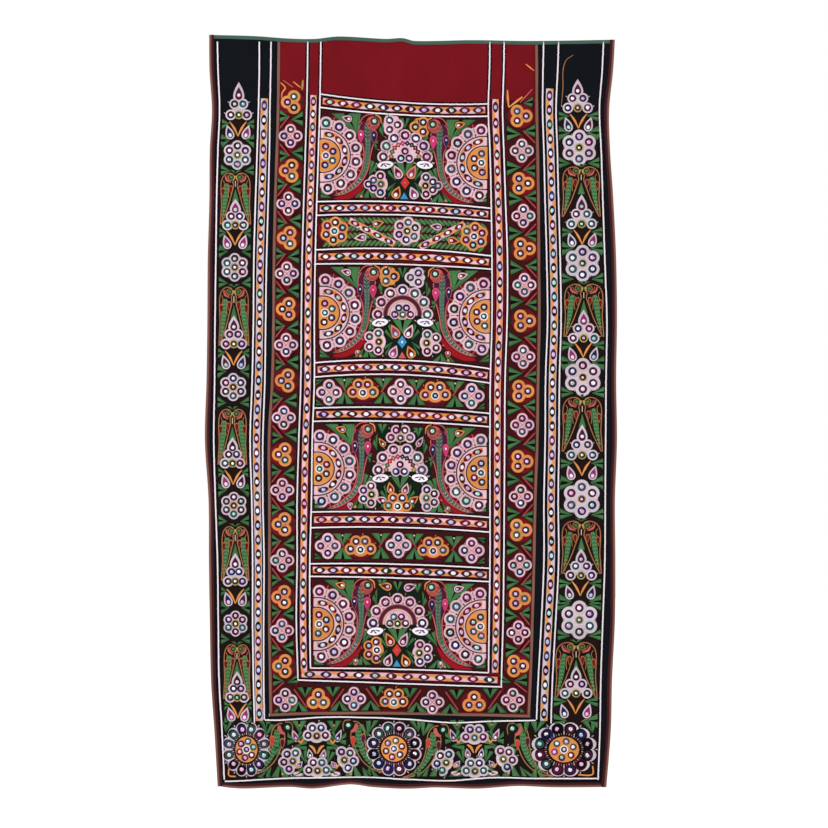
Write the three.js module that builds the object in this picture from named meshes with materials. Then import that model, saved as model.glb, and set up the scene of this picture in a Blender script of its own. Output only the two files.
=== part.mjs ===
// Embroidered wall hanging: a red centre panel, black borders on three sides, piping in the seams between
// them, and a folded binding round every edge. Millimetres, +Z up. The embroidered face looks along -Y.
// The origin is the middle of the top edge, where the hanging is held; "drop" is the distance below it.

import * as THREE from "three";

const clothThickness = 2.0;
const pieceGap = 0.3;          // clearance between neighbouring pieces
const bindingFold = 0.9;       // thickness of one layer of a binding strip
const sideBindingWidth = 12;   // how far a brown binding reaches in from the edge
const topBindingWidth = 9;     // how far the green binding reaches down from the top edge
const pipingWidth = 7;
const pipingThickness = 3.4;   // the piping stands a little proud of the cloth on both faces
const pipingFlat = 0.6;        // share of the piping's width that is flat on top

const flatHeading = 18;        // the heading lies flat against the wall down to this drop
const foldsFull = 90;          // and from this drop the folds have their whole depth

// Every piece has its grid rows at the same drops, so that the facets of neighbours follow each other.
const rowPitch = 43.6;
const footRow = 38;            // the row at the foot of the red panel
const hemRow = 42;             // the last row, at the hem
const centreColumns = 20;
const borderColumns = 6;

// Distances from the centre line to the outer edges and to the two seams, at each drop.
const sections = [
  { drop: -10, left: -496, leftSeam: -325, rightSeam: 306, right: 499 },
  { drop: 78, left: -495, leftSeam: -326, rightSeam: 307, right: 494 },
  { drop: 176, left: -489, leftSeam: -327, rightSeam: 307, right: 484 },
  { drop: 274, left: -494, leftSeam: -330, rightSeam: 309, right: 486 },
  { drop: 397, left: -495, leftSeam: -334, rightSeam: 311, right: 494 },
  { drop: 544, left: -499, leftSeam: -337, rightSeam: 312, right: 501 },
  { drop: 691, left: -500, leftSeam: -338, rightSeam: 313, right: 503 },
  { drop: 838, left: -502, leftSeam: -341, rightSeam: 310, right: 501 },
  { drop: 985, left: -506, leftSeam: -349, rightSeam: 308, right: 503 },
  { drop: 1132, left: -497, leftSeam: -348, rightSeam: 303, right: 498 },
  { drop: 1279, left: -496, leftSeam: -348, rightSeam: 300, right: 499 },
  { drop: 1426, left: -494, leftSeam: -348, rightSeam: 296, right: 498 },
  { drop: 1573, left: -491, leftSeam: -346, rightSeam: 291, right: 491 },
  { drop: 1695, left: -483, leftSeam: -344, rightSeam: 285, right: 488 },
  { drop: 1845, left: -474, leftSeam: -338, rightSeam: 276, right: 476 },
];

// Height of the top edge, of the seam at the foot of the red panel, and of the hem, across the hanging.
const topEdge = [
  { across: -500, height: 8 },
  { across: -386, height: 5 },
  { across: -300, height: -1 },
  { across: -238, height: -2 },
  { across: -178, height: 4 },
  { across: -62, height: -2 },
  { across: -22, height: 0 },
  { across: 8, height: -7 },
  { across: 150, height: -5 },
  { across: 290, height: -7 },
  { across: 500, height: -4 },
];
const footSeam = [
  { across: -350, height: -1658 },
  { across: -240, height: -1654 },
  { across: 0, height: -1654 },
  { across: 145, height: -1657 },
  { across: 290, height: -1661 },
];
const hem = [
  { across: -480, height: -1832 },
  { across: -415, height: -1838 },
  { across: -300, height: -1834 },
  { across: -240, height: -1838 },
  { across: -150, height: -1828 },
  { across: -92, height: -1835 },
  { across: 0, height: -1838 },
  { across: 60, height: -1835 },
  { across: 160, height: -1838 },
  { across: 260, height: -1832 },
  { across: 350, height: -1835 },
  { across: 480, height: -1834 },
];

// Soft folds that stand forward of the wall: where each runs, how wide and deep it is, and the drops at
// which it starts and has its whole depth. A fold moves sideways by "lean" for each millimetre of drop.
const folds = [
  { across: -460, width: 95, depth: 5, start: 60, full: 420, lean: -0.01 },
  { across: -360, width: 90, depth: 4, start: 200, full: 900, lean: 0.02 },
  { across: -215, width: 90, depth: 5, start: 500, full: 1500, lean: 0.01 },
  { across: -26, width: 26, depth: 4, start: 20, full: 70, lean: 0.0 },
  { across: -40, width: 120, depth: 4, start: 300, full: 1000, lean: 0.02 },
  { across: 140, width: 100, depth: 6, start: 700, full: 1600, lean: -0.01 },
  { across: 330, width: 90, depth: 4, start: 300, full: 1100, lean: -0.02 },
  { across: 460, width: 95, depth: 6, start: 40, full: 300, lean: 0.0 },
];

const { clamp, lerp, smoothstep } = THREE.MathUtils;

// A smooth curve through a table: cubic pieces whose slope at each row is the slope between its neighbours.
function smoothColumn(rows, key, column) {
  const at = rows.map((row) => row[key]);
  const value = rows.map((row) => row[column]);
  const last = rows.length - 1;
  const slope = rows.map((row, i) => {
    const before = Math.max(i - 1, 0);
    const after = Math.min(i + 1, last);
    return (value[after] - value[before]) / (at[after] - at[before]);
  });
  return (position) => {
    const p = clamp(position, at[0], at[last]);
    const k = at.findLastIndex((start, i) => start <= p && i < last);
    const span = at[k + 1] - at[k];
    const t = (p - at[k]) / span;
    const blend = t * t * (3 - 2 * t);
    const bend = span * (slope[k] * t * (1 - t) ** 2 - slope[k + 1] * t * t * (1 - t));
    return lerp(value[k], value[k + 1], blend) + bend;
  };
}

const leftEdgeAt = smoothColumn(sections, "drop", "left");
const leftSeamAt = smoothColumn(sections, "drop", "leftSeam");
const rightSeamAt = smoothColumn(sections, "drop", "rightSeam");
const rightEdgeAt = smoothColumn(sections, "drop", "right");
const topEdgeAt = smoothColumn(topEdge, "across", "height");
const footSeamAt = smoothColumn(footSeam, "across", "height");
const hemAt = smoothColumn(hem, "across", "height");

// Where the middle of the cloth lies along Y: the folds stand forward of the wall, towards -Y.
function drapeAt(x, z) {
  const drop = -z;
  let forward = 0;
  for (const fold of folds) {
    const swell = smoothstep(drop, fold.start, fold.full);
    const off = (x - fold.across - fold.lean * drop) / fold.width;
    forward += fold.depth * swell * Math.exp(-off * off);
  }
  return -forward * smoothstep(drop, flatHeading, foldsFull);
}

function onCloth(x, z, depth) {
  return new THREE.Vector3(x, drapeAt(x, z) + depth, z);
}

// Rows between the first and the last of a piece lie at fixed drops, and those two lie on its own edges.
function rowHeight(row, firstRow, lastRow, upper, lower) {
  if (row === firstRow) return upper;
  if (row === lastRow) return lower;
  return -row * rowPitch;
}

// Moves every vertex of a geometry to place(x, y, z).
function shaped(geometry, place) {
  const position = geometry.attributes.position;
  for (let i = 0; i < position.count; i += 1) {
    const point = place(position.getX(i), position.getY(i), position.getZ(i));
    position.setXYZ(i, point.x, point.y, point.z);
  }
  geometry.computeVertexNormals();
  return geometry;
}

// A cloth panel between two side edges, given by drop, and two level edges, given by the place across.
function panelGeometry({ leftAt, rightAt, upperAt, lowerAt, columns, firstRow, lastRow }) {
  const rows = lastRow - firstRow;
  const grid = new THREE.BoxGeometry(1, 1, 1, columns, 1, rows);
  return shaped(grid, (gx, gy, gz) => {
    const row = firstRow + Math.round((0.5 - gz) * rows);
    const acrossAt = (z) => lerp(leftAt(-z), rightAt(-z), gx + 0.5);
    const nearby = acrossAt(-row * rowPitch);
    const z = rowHeight(row, firstRow, lastRow, upperAt(nearby), lowerAt(nearby));
    return onCloth(acrossAt(z), z, gy * clothThickness);
  });
}

// A strip whose section (inward from an edge, back from the cloth) is carried along that edge. "station"
// counts its steps, and place gives each point of the section.
function stripGeometry(outline, steps, place) {
  const section = new THREE.Shape(outline.map(([inward, depth]) => new THREE.Vector2(inward, depth)));
  const strip = new THREE.ExtrudeGeometry(section, { depth: 1, steps, bevelEnabled: false });
  return shaped(strip, (inward, depth, along) => place(inward, depth, Math.round(along * steps)));
}

// A strip down the hanging. side is 1 where inward is to the right, and -1 where it is to the left.
function sideStrip({ outline, edgeAt, side, upperAt, lowerAt, lastRow }) {
  return stripGeometry(outline, lastRow, (inward, depth, station) => {
    const row = side > 0 ? lastRow - station : station;
    const nearby = edgeAt(row * rowPitch) + side * inward;
    const z = rowHeight(row, 0, lastRow, upperAt(nearby), lowerAt(nearby));
    return onCloth(edgeAt(-z) + side * inward, z, depth);
  });
}

// A strip across the hanging. side is 1 where inward is up, and -1 where it is down. stationsAt gives the
// places across, from left to right, at a drop.
function levelStrip({ outline, edgeAt, side, stationsAt }) {
  const steps = stationsAt(0).length - 1;
  return stripGeometry(outline, steps, (inward, depth, station) => {
    const column = side > 0 ? steps - station : station;
    const nearby = stationsAt(-edgeAt(0))[column];
    const x = stationsAt(-edgeAt(nearby) - side * inward)[column];
    return onCloth(x, edgeAt(x) + side * inward, depth);
  });
}

// Binding section: a channel folded round the edge, its web outside the cloth and a leg on each face.
function bindingOutline(width) {
  const inside = clothThickness / 2 + pieceGap;
  const outside = inside + bindingFold;
  return [
    [0, -outside],
    [width, -outside],
    [width, -inside],
    [bindingFold, -inside],
    [bindingFold, inside],
    [width, inside],
    [width, outside],
    [0, outside],
  ];
}

// Piping section: a flat bead with its two sides brought to an edge.
const pipingHalf = pipingWidth / 2;
const pipingOutline = [
  [-pipingHalf, 0],
  [-pipingHalf * pipingFlat, -pipingThickness / 2],
  [pipingHalf * pipingFlat, -pipingThickness / 2],
  [pipingHalf, 0],
  [pipingHalf * pipingFlat, pipingThickness / 2],
  [-pipingHalf * pipingFlat, pipingThickness / 2],
];

const clothInset = bindingFold + pieceGap;      // from an outer edge to the cloth inside its binding
const seamInset = pipingHalf + pieceGap;        // from the middle of a seam to the cloth beside it

const panels = {
  centre_panel: {
    leftAt: (drop) => leftSeamAt(drop) + seamInset,
    rightAt: (drop) => rightSeamAt(drop) - seamInset,
    upperAt: (x) => topEdgeAt(x) - clothInset,
    lowerAt: (x) => footSeamAt(x) + seamInset,
    columns: centreColumns,
    firstRow: 0,
    lastRow: footRow,
  },
  border_left: {
    leftAt: (drop) => leftEdgeAt(drop) + clothInset,
    rightAt: (drop) => leftSeamAt(drop) - seamInset,
    upperAt: (x) => topEdgeAt(x) - clothInset,
    lowerAt: (x) => hemAt(x) + clothInset,
    columns: borderColumns,
    firstRow: 0,
    lastRow: hemRow,
  },
  border_right: {
    leftAt: (drop) => rightSeamAt(drop) + seamInset,
    rightAt: (drop) => rightEdgeAt(drop) - clothInset,
    upperAt: (x) => topEdgeAt(x) - clothInset,
    lowerAt: (x) => hemAt(x) + clothInset,
    columns: borderColumns,
    firstRow: 0,
    lastRow: hemRow,
  },
  // The foot border meets the side borders edge to edge, on the lines of the two seams.
  border_foot: {
    leftAt: (drop) => leftSeamAt(drop) - pipingHalf,
    rightAt: (drop) => rightSeamAt(drop) + pipingHalf,
    upperAt: (x) => footSeamAt(x) - seamInset,
    lowerAt: (x) => hemAt(x) + clothInset,
    columns: centreColumns,
    firstRow: footRow,
    lastRow: hemRow,
  },
};

// The places of a panel's grid columns at a drop.
function columnsAt(panel, drop) {
  return Array.from({ length: panel.columns + 1 }, (_, i) =>
    lerp(panel.leftAt(drop), panel.rightAt(drop), i / panel.columns));
}

// The stations of a binding that runs between the two side bindings, over the columns of three panels.
function bindingStations(drop, ...names) {
  const stations = names.flatMap((name) => columnsAt(panels[name], drop));
  stations[0] = leftEdgeAt(drop) + sideBindingWidth + pieceGap;
  stations[stations.length - 1] = rightEdgeAt(drop) - sideBindingWidth - pieceGap;
  return stations;
}

const redCloth = new THREE.MeshStandardMaterial({ color: 0x7d101a, roughness: 0.75, metalness: 0 });
const blackCloth = new THREE.MeshStandardMaterial({ color: 0x18191e, roughness: 0.85, metalness: 0 });
const greenCloth = new THREE.MeshStandardMaterial({ color: 0x4a7a68, roughness: 0.8, metalness: 0 });
const brownCloth = new THREE.MeshStandardMaterial({ color: 0x8c6a5c, roughness: 0.8, metalness: 0 });

const hanging = new THREE.Group();

function add(name, geometry, material) {
  const mesh = new THREE.Mesh(geometry, material);
  mesh.name = name;
  hanging.add(mesh);
}

for (const [name, panel] of Object.entries(panels)) {
  add(name, panelGeometry(panel), name === "centre_panel" ? redCloth : blackCloth);
}

// The side pipings run from under the top binding to the foot piping, which fills its seam from border to border.
const sidePiping = {
  outline: pipingOutline,
  upperAt: (x) => topEdgeAt(x) - topBindingWidth - pieceGap,
  lowerAt: (x) => footSeamAt(x) + seamInset,
  lastRow: footRow,
};
add("piping_left", sideStrip({ ...sidePiping, edgeAt: leftSeamAt, side: 1 }), brownCloth);
add("piping_right", sideStrip({ ...sidePiping, edgeAt: rightSeamAt, side: -1 }), brownCloth);
add("piping_foot", levelStrip({
  outline: pipingOutline,
  edgeAt: footSeamAt,
  side: 1,
  stationsAt: (drop) => columnsAt(panels.border_foot, drop),
}), brownCloth);

// The side bindings run the whole height, and the top and foot bindings fit between them.
const sideBinding = {
  outline: bindingOutline(sideBindingWidth),
  upperAt: topEdgeAt,
  lowerAt: hemAt,
  lastRow: hemRow,
};
add("binding_left", sideStrip({ ...sideBinding, edgeAt: leftEdgeAt, side: 1 }), brownCloth);
add("binding_right", sideStrip({ ...sideBinding, edgeAt: rightEdgeAt, side: -1 }), brownCloth);
add("binding_top", levelStrip({
  outline: bindingOutline(topBindingWidth),
  edgeAt: topEdgeAt,
  side: -1,
  stationsAt: (drop) => bindingStations(drop, "border_left", "centre_panel", "border_right"),
}), greenCloth);
add("binding_foot", levelStrip({
  outline: bindingOutline(sideBindingWidth),
  edgeAt: hemAt,
  side: 1,
  stationsAt: (drop) => bindingStations(drop, "border_left", "border_foot", "border_right"),
}), brownCloth);

export default hanging;
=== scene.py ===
import bpy
import numpy as np
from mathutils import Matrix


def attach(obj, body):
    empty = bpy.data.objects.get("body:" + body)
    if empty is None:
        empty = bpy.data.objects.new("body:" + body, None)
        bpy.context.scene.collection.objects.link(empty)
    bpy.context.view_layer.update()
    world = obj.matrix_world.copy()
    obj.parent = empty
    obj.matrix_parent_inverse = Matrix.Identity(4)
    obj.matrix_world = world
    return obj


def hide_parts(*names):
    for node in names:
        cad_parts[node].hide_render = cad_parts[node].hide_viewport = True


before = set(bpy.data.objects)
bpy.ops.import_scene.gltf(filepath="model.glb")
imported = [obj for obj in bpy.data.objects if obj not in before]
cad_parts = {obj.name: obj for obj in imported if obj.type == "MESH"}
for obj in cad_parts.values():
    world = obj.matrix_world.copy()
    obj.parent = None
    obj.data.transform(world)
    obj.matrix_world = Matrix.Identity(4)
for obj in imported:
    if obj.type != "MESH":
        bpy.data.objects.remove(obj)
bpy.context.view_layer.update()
chance = np.random.default_rng(5)
toMetres = 0.001
print("frame loaded,", len(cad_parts), "nodes")

# All tables are in millimetres; z is the height, 0 at the top edge, and the front looks along -Y.
# Places across the hanging at each drop below the top edge: its edges, its white lines and its two seams.
hanging = {
    "columns": ("drop", "leftEdge", "leftRim", "leftOuter", "leftInner", "leftSeam", "leftField", "leftPanel",
                "rightPanel", "rightField", "rightSeam", "rightInner", "rightOuter", "rightRim", "rightEdge"),
    "rows": (
        (-10, -496, -476, -373, -344, -325, -254, -222, 192, 227, 306, 324, 361, 471, 499),
        (78, -495, -474, -373, -345, -326, -255, -223, 191, 226, 307, 322, 358, 467, 494),
        (176, -489, -470, -375, -347, -327, -257, -225, 188, 223, 307, 321, 354, 460, 484),
        (274, -494, -474, -378, -348, -330, -260, -228, 192, 226, 309, 324, 357, 464, 486),
        (397, -495, -477, -382, -351, -334, -264, -232, 195, 230, 311, 327, 360, 468, 494),
        (544, -499, -479, -386, -355, -337, -268, -236, 197, 235, 312, 331, 364, 473, 501),
        (691, -500, -481, -387, -357, -338, -270, -238, 197, 234, 313, 333, 366, 478, 503),
        (838, -502, -482, -390, -359, -341, -271, -238, 193, 229, 310, 328, 362, 476, 501),
        (985, -506, -484, -395, -364, -349, -276, -243, 192, 228, 308, 327, 361, 475, 503),
        (1132, -497, -480, -391, -364, -348, -280, -245, 192, 227, 303, 324, 359, 474, 498),
        (1279, -496, -475, -389, -361, -348, -280, -249, 192, 226, 300, 324, 360, 473, 499),
        (1426, -494, -473, -389, -362, -348, -282, -249, 190, 224, 296, 318, 353, 468, 498),
        (1573, -491, -471, -387, -362, -346, -278, -247, 188, 220, 291, 310, 345, 463, 491),
        (1695, -483, -464, -384, -360, -344, -276, -245, 186, 218, 285, 305, 341, 461, 488),
        (1845, -474, -457, -383, -359, -338, -276, -244, 185, 217, 276, 303, 339, 455, 476),
    ),
    "top": ((-500, 8), (-386, 5), (-300, -1), (-238, -2), (-178, 4), (-62, -2), (-22, 0), (8, -7), (150, -5),
            (290, -7), (500, -4)),
    "footSeam": ((-350, -1658), (-240, -1654), (0, -1654), (145, -1657), (290, -1661)),
    "hem": ((-480, -1832), (-415, -1838), (-300, -1834), (-240, -1838), (-150, -1828), (-92, -1835),
            (0, -1838), (60, -1835), (160, -1838), (260, -1832), (350, -1835), (480, -1834)),
    "footLine": ((-360, -1670), (-317, -1670), (-214, -1663), (-111, -1664), (-9, -1668), (94, -1676),
                 (197, -1673), (305, -1671)),
    "hemLine": ((-458, -1820), (-420, -1819), (-317, -1813), (-214, -1811), (-111, -1810), (-9, -1815),
                (94, -1818), (197, -1811), (300, -1813), (456, -1813)),
    "length": 1830.0,       # a first guess of the drop, from which a panel's grid settles
    "cloth": 2.0,
    "clothInset": 1.2,      # from an outer edge to the cloth inside its binding
    "seamInset": 3.8,       # from the middle of a seam to the cloth beside it
    "footOverlap": 4.0,     # from a side seam to the end of the foot border under it
}

# Heights of the white lines across the red panel, at three places across.
levels = {
    "places": (-190, -13, 163),
    "heights": (
        (-142, -159, -162), (-174, -189, -192), (-400, -402, -414), (-433, -434, -445),
        (-517, -517, -530), (-553, -555, -564), (-792, -790, -806), (-827, -825, -841),
        (-905, -906, -917), (-938, -940, -950), (-1160, -1162, -1172), (-1198, -1199, -1208),
        (-1287, -1289, -1297), (-1319, -1323, -1330), (-1543, -1546, -1553), (-1575, -1581, -1587),
    ),
}

# Soft folds that stand forward: across, width, depth, drop where it starts, drop where it is full, lean.
# Creases are narrower: the two ends (across, height), width and depth, where a trough has a negative depth.
drapery = {
    "flatHeading": 18,
    "foldsFull": 90,
    "sewnFrom": 15,         # drop at which the puckers under the stitches start
    "sewnFull": 120,
    "pucker": 0.35,
    "slantPucker": 0.2,
    "folds": (
        (-460, 95, 5, 60, 420, -0.01), (-360, 90, 4, 200, 900, 0.02), (-215, 90, 5, 500, 1500, 0.01),
        (-26, 26, 4, 20, 70, 0.0), (-40, 120, 4, 300, 1000, 0.02), (140, 100, 6, 700, 1600, -0.01),
        (330, 90, 4, 300, 1100, -0.02), (460, 95, 6, 40, 300, 0.0),
    ),
    "creases": (
        ((-8, -6), (-9, -165), 7, -2.6), ((-30, -8), (-22, -150), 14, 1.6),
        ((-190, -8), (-214, -140), 16, 1.2), ((90, -10), (70, -130), 20, 1.0),
        ((230, -6), (236, -150), 14, -0.9), ((-300, -10), (-296, -150), 12, 0.8),
        ((440, -40), (420, -330), 18, 1.0), ((-440, -60), (-452, -420), 18, 0.8),
        ((-120, -1600), (-126, -1830), 22, 1.2), ((-290, -1600), (-284, -1830), 20, -1.0),
        ((120, -1560), (112, -1830), 24, 1.2), ((330, -1500), (338, -1830), 20, -1.0),
    ),
}


# A smooth curve through a table: cubic pieces whose slope at each row is the slope between its neighbours.
def smoothCurve(at, value):
    at = np.array(at, float)
    value = np.array(value, float)
    row = np.arange(len(at))
    before = np.maximum(row - 1, 0)
    after = np.minimum(row + 1, len(at) - 1)
    slope = (value[after] - value[before]) / (at[after] - at[before])

    def curve(position):
        p = np.clip(position, at[0], at[-1])
        k = np.clip(np.searchsorted(at, p, side="right") - 1, 0, len(at) - 2)
        span = at[k + 1] - at[k]
        t = (p - at[k]) / span
        blend = t * t * (3 - 2 * t)
        bend = span * (slope[k] * t * (1 - t) ** 2 - slope[k + 1] * t * t * (1 - t))
        return value[k] + (value[k + 1] - value[k]) * blend + bend

    return curve


# From 0 before the start to 1 past the full place, by 3t^2 - 2t^3 between them.
def smoothStep(p, start, full):
    t = np.clip((p - start) / (full - start), 0, 1)
    return t * t * (3 - 2 * t)


drops = [row[0] for row in hanging["rows"]]
acrossAt = {name: smoothCurve(drops, [row[i] for row in hanging["rows"]])
            for i, name in enumerate(hanging["columns"]) if i}
edgeAt = {name: smoothCurve(*zip(*hanging[name]))
          for name in ("top", "footSeam", "hem", "footLine", "hemLine")}
levelAt = [np.poly1d(np.polyfit(levels["places"], row, 2)) for row in levels["heights"]]


# Where a named edge, line or seam lies across the hanging at a height.
def at(name, z):
    return acrossAt[name](-np.asarray(z, float))


# Edges as functions of the other coordinate: a line moved by a distance, a side edge, a level edge, and a
# place that stays the same.
def moved(line, shift):
    return lambda place: line(place) + shift


def sideEdge(name, shift=0.0):
    return lambda z: at(name, z) + shift


def levelEdge(name, shift=0.0):
    return moved(edgeAt[name], shift)


def fixed(value):
    return lambda place: value + 0 * place


# Where the middle of the cloth lies along Y: folds are bells across the cloth that swell with the drop,
# creases are bells across their own line that fade at its ends, and puckers are waves under the stitches.
def drape(x, z):
    drop = -z
    forward = np.zeros(np.broadcast(x, z).shape)
    for across, width, depth, start, full, lean in drapery["folds"]:
        off = (x - across - lean * drop) / width
        forward += depth * smoothStep(drop, start, full) * np.exp(-off * off)
    forward *= smoothStep(drop, drapery["flatHeading"], drapery["foldsFull"])
    for start, end, width, depth in drapery["creases"]:
        t = (z - start[1]) / (end[1] - start[1])
        off = (x - start[0] - (end[0] - start[0]) * t) / width
        ends = smoothStep(t, -0.05, 0.25) * (1 - smoothStep(t, 0.55, 1.1))
        forward += depth * ends * np.exp(-off * off)
    sewn = smoothStep(drop, drapery["sewnFrom"], drapery["sewnFull"])
    acrossWave = x / 21 + 1.7 * np.sin(z / 61)
    downWave = z / 26 + 0.9 * np.sin(x / 47)
    slantWave = x / 11 + z / 33 + 1.1 * np.sin(z / 90)
    forward += drapery["pucker"] * sewn * np.sin(acrossWave) * np.sin(downWave)
    forward += drapery["slantPucker"] * sewn * np.sin(slantWave)
    return -forward


# The front face lies half the cloth's thickness before its middle.
def frontOf(x, z):
    return drape(x, z) - hanging["cloth"] / 2


# Makes one mesh object; points are in millimetres, and all faces have the same number of corners.
def makeObject(name, points, faces, material, uv=None, tone=None):
    mesh = bpy.data.meshes.new(name)
    count, corners = faces.shape
    mesh.vertices.add(len(points))
    mesh.vertices.foreach_set("co", (points * toMetres).astype(np.float32).ravel())
    mesh.loops.add(count * corners)
    mesh.loops.foreach_set("vertex_index", faces.astype(np.int32).ravel())
    mesh.polygons.add(count)
    mesh.polygons.foreach_set("loop_start", np.arange(0, count * corners, corners, dtype=np.int32))
    mesh.polygons.foreach_set("use_smooth", np.ones(count, dtype=bool))
    if uv is not None:
        layer = mesh.uv_layers.new(name="UVMap")
        layer.data.foreach_set("uv", uv[faces.ravel()].astype(np.float32).ravel())
    if tone is not None:
        layer = mesh.attributes.new("tone", "FLOAT", "POINT")
        layer.data.foreach_set("value", tone.astype(np.float32))
    mesh.update(calc_edges=True)
    mesh.validate()
    mesh.materials.append(material)
    piece = bpy.data.objects.new(name, mesh)
    bpy.context.scene.collection.objects.link(piece)
    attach(piece, "root")
    return piece


# sRGB 0 to 255 as the linear colour a shader takes.
def linear(colour):
    c = np.array(colour) / 255
    return tuple(np.where(c <= 0.04045, c / 12.92, ((c + 0.055) / 1.055) ** 2.4)) + (1.0,)


# A share of a linear colour, no brighter than white.
def scaled(colour, share):
    return tuple(min(1.0, c * share) for c in colour[:3]) + (1.0,)


# Gives a node's inputs plain values, or links to the outputs of other nodes.
def setInputs(tree, node, inputs):
    for name, value in inputs.items():
        if isinstance(value, bpy.types.NodeSocket):
            tree.links.new(value, node.inputs[name])
        else:
            node.inputs[name].default_value = value


# Adds a shader node with its inputs and settings, and returns its outputs.
def addNode(tree, kind, inputs, **settings):
    node = tree.nodes.new("ShaderNode" + kind)
    for name, value in settings.items():
        setattr(node, name, value)
    setInputs(tree, node, inputs)
    return node.outputs


# A material with its node tree and its surface, whose highlights are faint.
def newMaterial(name, roughness, metallic=0.0):
    material = bpy.data.materials.new(name)
    material.use_nodes = True
    tree = material.node_tree
    surface = tree.nodes["Principled BSDF"]
    setInputs(tree, surface, {"Roughness": roughness, "Metallic": metallic, "Specular IOR Level": 0.05})
    return material, tree, surface


# The mix node keeps its two colours in inputs 6 and 7, and the mixed colour in output 2.
def mixColours(tree, factor, a, b):
    return addNode(tree, "Mix", {0: factor, 6: a, 7: b}, data_type="RGBA")[2]


# The textures that the materials share, each as the output that carries its value.
def noise(tree, source, scale, detail=2.0):
    return addNode(tree, "TexNoise", {"Scale": scale, "Detail": detail, "Vector": source})["Fac"]


def cells(tree, source, scale):
    return addNode(tree, "TexVoronoi", {"Scale": scale, "Vector": source})["Distance"]


def bump(tree, height, distance, strength):
    return addNode(tree, "Bump", {"Distance": distance, "Strength": strength, "Height": height})["Normal"]


def ownTone(tree):
    return addNode(tree, "Attribute", {}, attribute_name="tone")["Fac"]


# Woven cloth: slow patches of wear and a fine weave, and for strips a painted shade across the UV, a dark band
# along the side that meets the cloth.
def clothMaterial(name, look):
    material, tree, surface = newMaterial(name, look["roughness"])
    where = addNode(tree, "TexCoord", {})
    base = linear(look["colour"])
    worn = noise(tree, where["Object"], 9.0, 4.0)
    tint = mixColours(tree, worn, scaled(base, 0.72), scaled(base, 1.28))
    # Painted shade: the edge colour fills the UV up to 'from' and fades into the cloth's own colour by 'to'.
    if "edge" in look:
        edge = look["edge"]
        across = addNode(tree, "SeparateXYZ", {0: where["UV"]})[1]
        ramp = addNode(tree, "MapRange", {"From Min": edge["from"], "From Max": edge["to"], "Value": across})
        tint = mixColours(tree, ramp["Result"], linear(edge["colour"]), tint)
    weave = cells(tree, where["Object"], look["weave"])
    setInputs(tree, surface, {"Base Color": tint, "Sheen Weight": look["sheen"], "Sheen Roughness": 0.4,
                              "Normal": bump(tree, weave, 0.0004, 0.5)})
    return material


# Chain stitch: thread rows across the UV, bead-like loops, and a tone of its own for each motif.
def threadMaterial(name, colour):
    material, tree, surface = newMaterial(name, 0.62)
    where = addNode(tree, "TexCoord", {})
    base = linear(colour)
    uneven = noise(tree, where["Object"], 420.0)
    shade = addNode(tree, "Math", {0: uneven, 1: 0.7, 2: ownTone(tree)}, operation="MULTIPLY_ADD")[0]
    tint = mixColours(tree, shade, scaled(base, 0.66), scaled(base, 1.1))
    rowInputs = {"Scale": 0.16, "Distortion": 1.2, "Vector": where["UV"]}
    rows = addNode(tree, "TexWave", rowInputs, bands_direction="Y")["Fac"]
    loops = cells(tree, where["Object"], 520.0)
    relief = addNode(tree, "Math", {0: rows, 1: loops}, operation="SUBTRACT")[0]
    setInputs(tree, surface, {"Base Color": tint, "Normal": bump(tree, relief, 0.0006, 0.8)})
    return material


# Silvered glass with a faint tint that changes from mirror to mirror.
def glassMaterial(name, colour):
    material, tree, surface = newMaterial(name, 0.09, 1.0)
    base = linear(colour)
    tint = mixColours(tree, ownTone(tree), scaled(base, 0.72), scaled(base, 1.05))
    setInputs(tree, surface, {"Base Color": tint})
    return material


# A sheet between two grids of points, a front and a back, closed along its rim and turned outwards.
def sheetFaces(front, back):
    rows, columns = front.shape[:2]
    index = np.arange(rows * columns).reshape(rows, columns)
    quads = np.stack([index[:-1, :-1], index[1:, :-1], index[1:, 1:], index[:-1, 1:]], -1).reshape(-1, 4)
    loop = np.concatenate([index[:-1, 0], index[-1, :-1], index[:0:-1, -1], index[0, :0:-1]])
    ahead = np.roll(loop, -1)
    behind = rows * columns
    rim = np.stack([ahead, loop, loop + behind, ahead + behind], -1)
    faces = np.concatenate([quads, quads[:, ::-1] + behind, rim])
    points = np.concatenate([front.reshape(-1, 3), back.reshape(-1, 3)])
    a, b, c, d = (points[faces[:, k]] for k in range(4))
    if np.sum(a * np.cross(b, c)) + np.sum(a * np.cross(c, d)) < 0:
        faces = faces[:, ::-1]
    return points, faces


# The cloths: colour in sRGB, roughness, sheen, cells of weave a metre, and for a strip the painted shade along
# its side next to the cloth.
clothLooks = {
    "redCloth": {
        "slot": "red_cloth", "colour": (106, 11, 21), "roughness": 0.6, "sheen": 0.015, "weave": 900.0,
    },
    "blackCloth": {
        "slot": "black_cloth", "colour": (13, 16, 21), "roughness": 0.9, "sheen": 0.0, "weave": 700.0,
    },
    "brownCloth": {
        "slot": "brown_cloth", "colour": (120, 84, 72), "roughness": 0.85, "sheen": 0.0, "weave": 800.0,
        # The brown strips' edge is painted shade: dark maroon where a binding or piping meets the cloth beside
        # it.
        "edge": {"from": 0.15, "to": 0.24, "colour": (58, 24, 30)},
    },
    "greenCloth": {
        "slot": "green_cloth", "colour": (62, 88, 77), "roughness": 0.8, "sheen": 0.0, "weave": 800.0,
    },
}
cloths = {name: clothMaterial(name, look) for name, look in clothLooks.items()}


# One sheet of cloth in place of a CAD node, with the same UV on its front and its back.
def makeSheet(node, front, back, cloth, uv):
    points, faces = sheetFaces(front, back)
    both = np.concatenate([uv.reshape(-1, 2), uv.reshape(-1, 2)])
    piece = makeObject(node + "_cloth", points, faces, cloths[cloth], uv=both)
    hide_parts(node)
    return piece


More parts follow.
